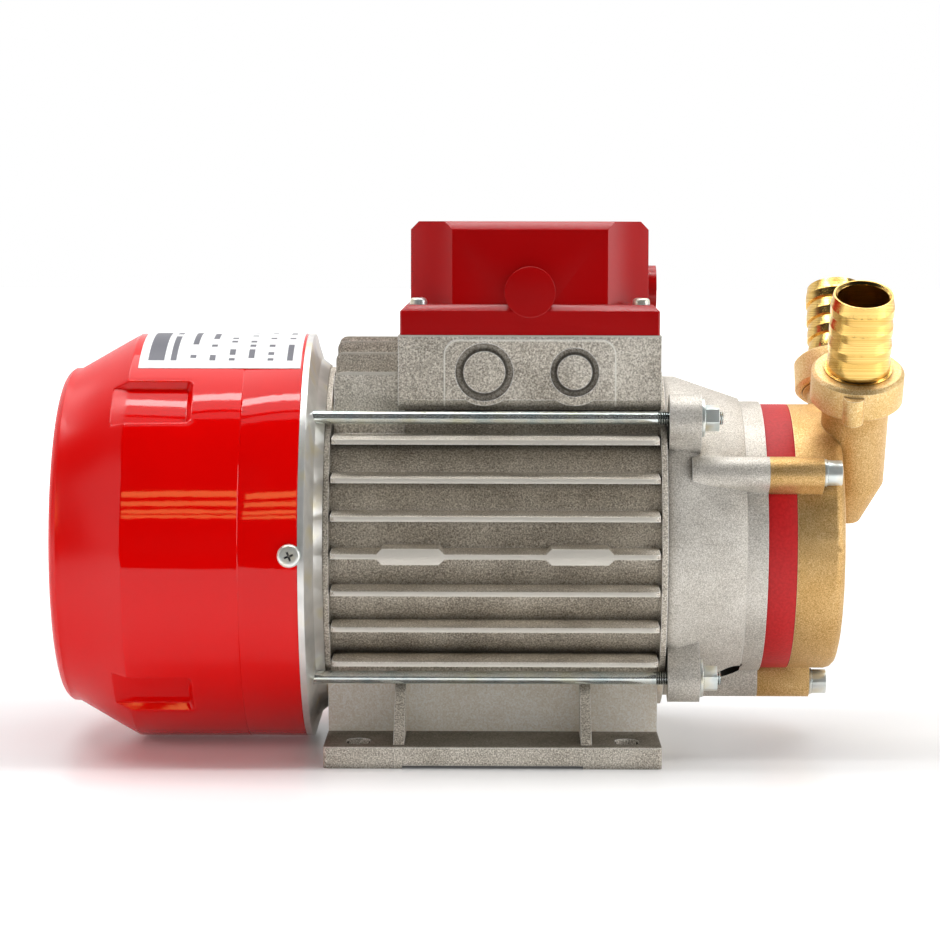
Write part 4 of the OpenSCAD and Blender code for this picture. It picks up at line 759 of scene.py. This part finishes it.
# plated rod: brighter and bluer than the screws, with its rolled thread's roots painted dark as shade at the
# pump end
thread_pitch = 0.8 * MM
thread_start_x = 55.3 * MM
threaded, tree, shader, place = material_of("bright_zinc_plate_threaded", Metallic=0.8, Roughness=0.17)
bloom = add(tree, "TexNoise", {"Vector": place, "Scale": 0.13 / MM, "Detail": 2.0})
tone = add(tree, "ValToRGB", {"Fac": bloom}, stops=[(0.3, "#cfe0e2"), (0.5, "#eef4f2"), (0.72, "#e9ecd8")])
along = add(tree, "SeparateXYZ", {"Vector": place}).outputs["X"]
crest = add(tree, "Math", {0: along, 1: thread_pitch / 2}, operation="PINGPONG")
root = add(tree, "MapRange", {"Value": crest, "From Max": thread_pitch / 2})
rolled = add(tree, "MapRange", {"Value": along, "From Min": thread_start_x,
                                "From Max": thread_start_x + 0.3 * MM})
valley = add(tree, "Math", {0: rolled, 1: root}, operation="MULTIPLY")
colour = add(tree, "MixRGB", {"Fac": valley, "Color1": tone, "Color2": linear("#3a3f40")})
bump = add(tree, "Bump", {"Height": valley, "Strength": 0.8, "Distance": 0.4 * MM}, invert=True)
join(tree, shader, {"Base Color": colour, "Normal": bump})
dress(rods, threaded)

# Inside the terminal box: a moulded gasket under the lid, a run capacitor in its clamp, and a terminal
# block with six brass studs, both fixed to cast pads. The pump's rubber rings match the gasket.
# moulded rubber: near black and matte, with pores drawn at 1.4 mm to show
rubber = mottled("moulded_black_rubber", 0.7, ("#1a1a1b", "#262627"), relief=0.3, Roughness=0.65)
for name in ("lid_gasket", "slinger", "seal_bellows", "head_o_ring"):
    dress(nodes[name], rubber)
# moulded plastic can: off-white and smooth, faintly clouded
can = mottled("moulded_white_can", 0.06, ("#d6d6d2", "#e0e0dd"), Roughness=0.3)
dress(nodes["capacitor"], can)
# thermoset: brown and half matte, speckled by its filler
thermoset = mottled("brown_thermoset", 0.9, ("#2e2219", "#46362a"), 3.0, Roughness=0.45)
dress(nodes["terminal_block"], thermoset)
# plated brass: bright yellow, a little uneven
stud = mottled("plated_stud_brass", 0.5, ("#b08a3c", "#d4b060"), Metallic=1.0, Roughness=0.25)
dress(nodes["terminal_studs"], stud)

# Terminal box lid: one moulding in satin red ABS with softened edges and two round bosses, held by a
# screw in each corner of its flange.
# satin moulded ABS: a deeper red than the cover, with soft reflections and a texture under 1 mm
satin_red, tree, shader, place = material_of("satin_red_abs", Roughness=0.24, Specular_IOR_Level=0.4)
cloud = add(tree, "TexNoise", {"Vector": place, "Scale": 0.025 / MM, "Detail": 2.0})
tone = add(tree, "ValToRGB", {"Fac": cloud}, stops=[(0.3, "#ad0103"), (0.7, "#b60205")])
texture = add(tree, "TexNoise", {"Vector": place, "Scale": 1.2 / MM, "Detail": 2.0})
bump = add(tree, "Bump", {"Height": texture, "Strength": 0.12, "Distance": 0.2 * MM})
join(tree, shader, {"Base Color": tone, "Normal": bump})
lid = rounded("box_lid", "box_lid_moulding", "motor", 0.8 * MM, segments=3)
dress(lid, satin_red)
screw_low, screw_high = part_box("lid_screws")
flange_top_z = 153 * MM
lid_head_r = 2.9 * MM
lid_head = pan_head(lid_head_r, screw_high.z - flange_top_z, 1.7 * MM)
for index, (far_x, far_y) in enumerate(((0, 0), (1, 0), (0, 1), (1, 1))):
    at_x = screw_high.x - lid_head_r if far_x else screw_low.x + lid_head_r
    at_y = screw_high.y - lid_head_r if far_y else screw_low.y + lid_head_r
    set_head(lid_head, "lid_screw_%d" % index, (at_x, at_y, flange_top_z), (0, 0, radians(30 * index)),
             "lid_screws")
bpy.data.objects.remove(lid_head)

# Pump ring: a turned iron ring between the front shield and the pump head, painted red before it is
# bolted up.
# matte red paint: flat and darker than the plastic, with the orange peel of a thick coat, 0.9 mm
# across
ring_paint = mottled("matte_red_paint", 1.1, ("#bd0c10", "#d01a1e"), 3.0, relief=0.3, depth=0.3 * MM,
                     Roughness=0.5, Specular_IOR_Level=0.42)
ring = rounded("pump_ring", "pump_ring_painted", "motor", 0.35 * MM)
dress(ring, ring_paint)

# Shaft seal: a ceramic seat in the pump ring's bore, and a carbon face that a wire spring and a rubber
# bellows press against it.
# lapped ceramic: ivory white and smooth
ceramic = mottled("lapped_ceramic", 0.3, ("#dcd9cf", "#ebe8e0"), Roughness=0.2)
dress(nodes["seal_seat"], ceramic)
# lapped carbon: dark grey and satin, finely speckled
carbon = mottled("lapped_carbon", 0.9, ("#242527", "#333539"), 3.0, Roughness=0.4)
dress(nodes["seal_face"], carbon)
dress(nodes["seal_spring"], ground)

# Pump head and impeller: sand castings in brass, blasted. The head is cast in one piece with both of
# its port pipes, and the impeller is keyed and clipped to the shaft.
# sand-cast brass: a dull gold with grains drawn at 0.4 mm, painted brown shade in the corners, and
# pale edges, partly wear and partly a painted highlight
sand_cast, tree, shader, place = material_of("blasted_sand_cast_brass", Metallic=0.8, Roughness=0.5)
colour, bump = casting(tree, place, 2.4 / MM, ("#bc9250", "#dcb272", "#f2d49e"), "#74501e", "#fff0c8")
join(tree, shader, {"Base Color": colour, "Normal": bump})
head = rounded("pump_head", "pump_head_casting", "motor", 0.6 * MM)
dress(head, sand_cast)
dress(nodes["impeller"], sand_cast)

# Pump bolts: three socket cap screws in plated steel, with washers, that hold the head and the ring to
# the front shield.
bolts = rounded("pump_bolts", "pump_bolts_plated", "motor", 0.4 * MM)
bolt_washers = rounded("pump_bolt_washers", "pump_bolt_washers_plated", "motor", 0.15 * MM)
dress(bolts, zinc)
dress(bolt_washers, zinc)

# Hose tails, gaskets and ring nuts, the same on both ports: tails turned from brass bar, which stand
# on flat fibre gaskets, and cast brass nuts that screw them down onto the pipes.
# pressed fibre sheet: dark brown and matte, with matted strands drawn 1.2 mm apart
fibre_sheet = mottled("pressed_fibre_sheet", 0.8, ("#33231d", "#4a352c"), 4.0, 1.5, 0.3, Roughness=0.8)
# blasted nut brass: paler and brighter than the head, with grains drawn at 0.4 mm, painted shade in
# its hollows and pale edges, partly wear and partly a painted highlight
nut_cast, tree, shader, place = material_of("blasted_nut_brass", Metallic=0.75, Roughness=0.45)
colour, bump = casting(tree, place, 2.3 / MM, ("#d2a862", "#f0ca88", "#ffeab8"), "#86602a", "#fff8dc")
join(tree, shader, {"Base Color": colour, "Normal": bump})
port_lean = radians(27.2)
for lean, port in ((-port_lean, "suction"), (port_lean, "delivery")):
    # turned brass: mirror-bright yellow, with the tool's rings round the port's axis drawn 0.4 mm
    # apart to show
    turned, tree, shader, place = material_of(port + "_turned_brass", Metallic=1.0, Roughness=0.2)
    upright = add(tree, "Mapping", {"Vector": place, "Rotation": (lean, 0, 0),
                                    "Scale": (0.008 / MM, 0.008 / MM, 2.5 / MM)})
    feed = add(tree, "TexNoise", {"Vector": upright, "Scale": 1.0})
    tone = add(tree, "ValToRGB", {"Fac": feed}, stops=[(0.3, "#dcae58"), (0.7, "#fbd584")])
    bump = add(tree, "Bump", {"Height": feed, "Strength": 0.2, "Distance": 0.1 * MM})
    join(tree, shader, {"Base Color": tone, "Normal": bump})
    tail = rounded(port + "_tail", port + "_tail_turned", port + "_tail", 0.12 * MM, crisp=9)
    dress(tail, turned)
    dress(nodes[port + "_gasket"], fibre_sheet)
    nut = rounded(port + "_nut", port + "_nut_cast", port + "_nut", 0.5 * MM)
    dress(nut, nut_cast)
